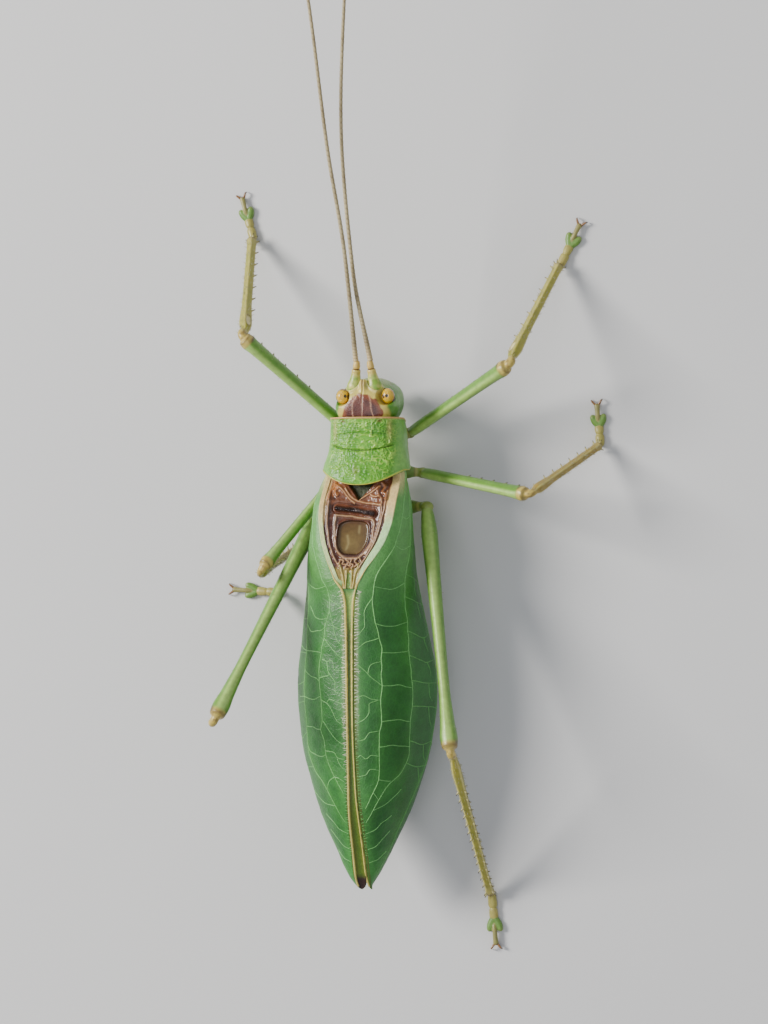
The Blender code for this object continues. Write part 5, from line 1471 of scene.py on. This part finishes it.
def build_shank(limb, pair, knee, ankle, thigh, across, seed):
    shin = LEGS[pair]["shin"]
    line = unit(ankle - knee)
    fold = unit(line - thigh * (line @ thigh))
    elbow = knee + thigh * 0.55 + fold * 1.05
    bend = [knee - thigh * 0.15, knee + thigh * 0.35 + fold * 0.1, knee + thigh * 0.68 + fold * 0.5, elbow]
    route = bend + [elbow + (ankle - elbow) * place for place in (0.12, 0.35, 0.6, 0.8, 1.0)]
    count = 260
    path = along(route, count)
    t = np.linspace(0.0, 1.0, count)
    radius = track([(0.0, 0.8 * shin[0]), (0.05, 0.98 * shin[0]), (0.1, 0.8 * shin[0]), (0.17, shin[1]),
                    (0.24, shin[1] * 0.95), (0.34, shin[2] * 0.92), (0.93, shin[3] * 0.92),
                    (0.98, shin[3] * 1.08), (1.0, shin[3] * 0.7)])(t)

    def keels(turn, place):
        corners = 0.09 * np.cos(4.0 * (turn - np.pi / 4.0))
        return 1.0 + corners * smooth((place - 0.1) / 0.1) * smooth((0.99 - place) / 0.03)

    grid = tube(path, radius * 0.92, radius, across, 64, keels)
    turn = 2.0 * np.pi * np.arange(64)[None, :] / 64
    if pair == "front":
        # tympanum: an oval drum in a shallow pit on both faces near the knee
        drum = bell(np.hypot((t[:, None] - 0.185) / 0.045, (np.abs(np.cos(turn)) - 1.0) / 0.16), 1.0)
        centre = path[:, None, :]
        grid = centre + (grid - centre) * (1.0 - 0.16 * drum + 0.1 * bell(drum - 0.35, 0.15))[..., None]
    else:
        drum = np.zeros((count, 64))
    near = 1.0 - smooth((t[:, None] - 0.05) / 0.06)
    ground = {"front": shade(164, 156, 58, 0.38), "mid": shade(160, 134, 54, 0.38),
              "hind": shade(152, 144, 54, 0.38)}[pair]
    limb.patch(grid, leg_paint(grid, ground, [
        # painted highlight along the tibia's four keels
        (shade(212, 202, 122, 0.34), 0.6 * bell(np.abs(np.sin(2.0 * turn)) - 1.0, 0.1)),
        (shade(196, 172, 88, 0.36), 0.85 * near),
        (shade(90, 56, 32, 0.4), 0.5 * near * smooth((noise(grid, 0.26, seed + 5) - 0.2) / 0.2)),
        (shade(216, 204, 150, 0.3), 0.85 * smooth((drum - 0.45) / 0.2)),
        (shade(110, 80, 44, 0.4), 0.5 * bell(drum - 0.38, 0.1)),
        (shade(176, 164, 104, 0.42), 0.6 * smooth((t[:, None] - 0.9) / 0.08)),
        (shade(84, 52, 32, 0.4), 0.6 * bell(t[:, None] - 0.985, 0.01))], seed + 4))
    spine_paint = (shade(176, 168, 112, 0.4), shade(36, 20, 14, 0.3))
    counts = {"front": (7, ((8, 1.0), (24, 1.0))), "mid": (7, ((8, 1.0), (24, 1.0))),
              "hind": (14, ((8, 0.8), (24, 0.8), (40, 1.0), (56, 1.0)))}[pair]
    for place in np.linspace(0.28, 0.95, counts[0]):
        for column, size in counts[1]:
            i = min(int((place + 0.012 * (column % 16 == 8)) * (count - 1)), count - 1)
            foot = grid[i, column]
            out = unit(foot - path[i])
            cone(foot - out * 0.1, foot + out * 0.36 * size + line * 0.26, 0.1, spine_paint, limb.spines)
    for column in (4, 28, 36, 60):
        foot = grid[int(0.985 * (count - 1)), column]
        out = unit(foot - path[int(0.985 * (count - 1))])
        cone(foot - out * 0.1, foot + out * 0.22 + line * 0.4, 0.09, spine_paint, limb.spines)
    return grid, path


def build_foot(limb, pair, ankle, toe, seed):
    """Two short pads, a broad two-lobed one and a slender claw joint, all flat on the floor."""
    length = LEGS[pair]["tarsus"]
    across = np.cross((0.0, 0.0, 1.0), toe)
    ground = np.array([ankle[0], ankle[1], 0.0])
    joints = (
        (-0.04, 0.29, 0.40, 0.46, 0.95, 0.74), (0.24, 0.50, 0.40, 0.46, 0.80, 0.68),
    )
    for k, (first, last, narrow, wide, tall, end_tall) in enumerate(joints):
        place, close = rounded((last - first) * length, 60, 0.4)
        centre = ground + toe * length * (first + (last - first) * place)[:, None]
        high = (tall + (end_tall - tall) * place) / 2.0
        centre[:, 2] = high
        half = (narrow + (wide - narrow) * smooth(place * 1.4)) * close
        grid = tube(centre, half, high * close, across, 44)
        grid[..., 2] = np.maximum(grid[..., 2] - 0.03, 0.0)
        sole = 1.0 - smooth((grid[..., 2] - 0.05) / 0.2)
        limb.patch(grid, leg_paint(grid, shade(172, 160, 84, 0.42), [
            (shade(190, 180, 116, 0.5), 0.8 * sole),
            (shade(110, 100, 60, 0.45), 0.5 * (bell(place[:, None], 0.05) + bell(place[:, None] - 1, 0.05)))],
            seed + 6 + k))
    for lobe in (-1.0, 1.0):
        t = np.linspace(0.0, 1.0, 60)
        path = along([ground + toe * length * 0.44, ground + toe * length * 0.54 + across * lobe * 0.22,
                      ground + toe * length * 0.64 + across * lobe * 0.46,
                      ground + toe * length * 0.72 + across * lobe * 0.62], 60)
        size = track([(0, 0.12), (0.12, 0.32), (0.5, 0.42), (0.85, 0.32), (0.96, 0.18), (1, 0.03)])(t)
        path[:, 2] = np.minimum(0.32, size)
        grid = tube(path, size, np.minimum(size, 0.34), across, 40)
        grid[..., 2] = np.maximum(grid[..., 2] - 0.03, 0.0)
        sole = 1.0 - smooth((grid[..., 2] - 0.05) / 0.2)
        limb.patch(grid, leg_paint(grid, shade(104, 142, 56, 0.42), [
            (shade(186, 178, 116, 0.5), 0.8 * sole),
            (shade(150, 160, 96, 0.42), 0.6 * smooth((t[:, None] - 0.75) / 0.2))], seed + 9))
    t = np.linspace(0.0, 1.0, 80)
    path = along([ground + toe * length * 0.5 + np.array([0, 0, 0.3]),
                  ground + toe * length * 0.7 + np.array([0, 0, 0.55]),
                  ground + toe * length * 0.88 + np.array([0, 0, 0.48]),
                  ground + toe * length * 1.0 + np.array([0, 0, 0.36])], 80)
    radius = track([(0, 0.14), (0.2, 0.2), (0.75, 0.26), (0.93, 0.3), (1, 0.06)])(t)
    grid = tube(path, radius, radius, across, 32)
    limb.patch(grid, leg_paint(grid, shade(150, 142, 84, 0.42), [
        (shade(110, 76, 40, 0.42), 0.6 * smooth((t[:, None] - 0.85) / 0.1))], seed + 11))
    claw_paint = (shade(132, 92, 52, 0.3), shade(30, 14, 8, 0.2))
    for lobe in (-1.0, 1.0):
        foot = path[-8] + across * lobe * 0.12
        tip = ground + toe * (length * 1.0 + 0.42) + across * lobe * 0.6 + np.array([0.0, 0.0, 0.06])
        cone(foot, tip, 0.13, claw_paint, limb.claws,
             bend=toe * 0.12 + np.array([0.0, 0.0, 0.3]) + across * lobe * 0.1, sides=16, rings=26)
    return grid


def add_setae(limb, grid, path, count, length, dice, lean):
    """Short fine hairs standing on a limb, leaning towards its end."""
    rows, columns = grid.shape[:2]
    pale = (shade(176, 172, 130, 0.5), shade(130, 110, 76, 0.5))
    for _ in range(count):
        i, j = dice.integers(int(rows * 0.06), int(rows * 0.97)), dice.integers(0, columns)
        foot = grid[i, j]
        out = unit(foot - path[min(i, len(path) - 1)])
        tip = foot + out * length * dice.uniform(0.6, 1.1) + lean * length * 0.7
        if tip[2] < 0.05:
            continue
        cone(foot - out * 0.03, tip, 0.022, pale, limb.spines, sides=3, rings=3)


def build_leg(pair, side, word):
    root, knee, ankle, toe = leg_frame(pair, side)
    seed = {"front": 200, "mid": 300, "hind": 400}[pair] + 50 * (side == RIGHT)
    dice = np.random.default_rng(seed)
    thigh = unit(knee - root)
    across = unit(np.cross(thigh, ankle - knee))
    y = LEGS[pair]["coxa_y"]
    angle = math.radians(COXA_ANGLE)
    top, floor, width = LEGS[pair]["coxa_top"], float(TRUNK_FLOOR(y)), float(TRUNK_WIDTH(y))
    half = (top - floor) / 2.0
    foot = np.array([float(middle(y)) + side * width * math.cos(angle), y,
                     (top + floor) / 2 - half * math.sin(angle)])
    outward = unit((side * math.cos(angle) / width, 0.0, -math.sin(angle) / half))
    limb = Limb()
    thigh_grid, thigh_path = build_thigh(limb, pair, root, knee, across, foot, outward, seed)
    shank_grid, shank_path = build_shank(limb, pair, knee, ankle, thigh, across, seed)
    build_foot(limb, pair, ankle, toe, seed)
    shank = unit(ankle - knee)
    add_setae(limb, thigh_grid, thigh_path, 120 if pair == "hind" else 80, 0.16, dice, thigh)
    add_setae(limb, shank_grid, shank_path, 260 if pair == "hind" else 200, 0.24, dice, shank)
    name = pair + "_" + word
    nodes = [part + "_" + name for part in ("coxa", "femur", "tibia", "tarsus")]
    limb.fuse("leg_" + name, LOOKS["leg"], nodes)
    limb.spines.piece("spines_" + name, LOOKS["spine"], "tibia")
    limb.claws.piece("claws_" + name, LOOKS["claw"], "tarsus")


# --- Camera, lights and floor -----------------------------------------------------------

def to_world(place):
    return Vector(((np.asarray(place, float) + SHIFT) * MM).tolist())


CAMERA_TILT = 15.0
CAMERA_TARGET = (-2.8336, 9.2755, 9.666)
CAMERA_DISTANCE = 220.0
CAMERA_LENS = 79.2
FLOOR_REACH = 1.5
LIGHT_TARGET = (0.0, 0.0, 0.01)
# name, place and disc size in metres, watts, colour
LIGHTS = (
    ("key", (0.42, -0.12, 0.34), 0.22, 5.0, (1.0, 0.97, 0.92)),
    ("top", (-0.05, 0.1, 0.6), 0.5, 1.0, (1.0, 1.0, 1.0)),
    ("fill", (-0.5, -0.2, 0.3), 0.5, 0.3, (0.9, 0.94, 1.0)),
)


def set_camera():
    tilt = math.radians(CAMERA_TILT)
    target = to_world(CAMERA_TARGET)
    back = Vector((-math.sin(tilt), 0.0, math.cos(tilt)))
    right = Vector((-math.cos(tilt), 0.0, -math.sin(tilt)))
    up = Vector((0.0, -1.0, 0.0))
    camera = bpy.data.objects.new("camera", bpy.data.cameras.new("camera"))
    bpy.context.scene.collection.objects.link(camera)
    place = target + back * CAMERA_DISTANCE * MM
    camera.matrix_world = Matrix((right, up, back)).transposed().to_4x4()
    camera.location = place
    camera.data.lens = CAMERA_LENS
    camera.data.sensor_width = 36.0
    camera.data.clip_start = 0.01
    camera.data.clip_end = 10.0
    bpy.context.scene.camera = camera


def area_light(name, place, size, power, colour):
    light = bpy.data.lights.new(name, "AREA")
    light.shape = "DISK"
    light.size = size
    light.energy = power
    light.color = colour
    lamp = bpy.data.objects.new(name, light)
    bpy.context.scene.collection.objects.link(lamp)
    lamp.location = Vector(place)
    lamp.rotation_mode = "QUATERNION"
    lamp.rotation_quaternion = (Vector(LIGHT_TARGET) - Vector(place)).to_track_quat("-Z", "Y")


def set_stage():
    mesh = bpy.data.meshes.new("floor")
    signs = ((-1, -1), (1, -1), (1, 1), (-1, 1))
    mesh.from_pydata([(a * FLOOR_REACH, b * FLOOR_REACH, 0) for a, b in signs], [], [(0, 1, 2, 3)])
    floor = bpy.data.objects.new("floor", mesh)
    bpy.context.scene.collection.objects.link(floor)
    material = bpy.data.materials.new("pale_floor")
    material.use_nodes = True
    tree = material.node_tree
    shader = tree.nodes["Principled BSDF"]
    shader.inputs["Roughness"].default_value = 0.85
    shader.inputs["Specular IOR Level"].default_value = 0.2
    place = node(tree, "TexCoord")
    cloud = node(tree, "TexNoise", {"Scale": 12.0})
    wire(tree, place, "Object", cloud, "Vector")
    ramp = node(tree, "ValToRGB")
    ramp.color_ramp.elements[0].color = (0.60, 0.60, 0.61, 1.0)
    ramp.color_ramp.elements[1].color = (0.68, 0.68, 0.67, 1.0)
    wire(tree, cloud, "Fac", ramp, "Fac")
    wire(tree, ramp, "Color", shader, "Base Color")
    mesh.materials.append(material)
    world = bpy.data.worlds.new("studio")
    bpy.context.scene.world = world
    world.use_nodes = True
    world.node_tree.nodes["Background"].inputs["Color"].default_value = (0.86, 0.9, 1.0, 1.0)
    world.node_tree.nodes["Background"].inputs["Strength"].default_value = 0.37
    for light in LIGHTS:
        area_light(*light)


set_camera()
set_stage()
for side, word in SIDES.items():
    build_wing(side, word)
build_stridulatory_area()
build_pronotum()
build_head()
build_eyes()
build_mouth()
build_antennae()
build_trunk()
for pair in LEGS:
    for side, word in SIDES.items():
        build_leg(pair, side, word)
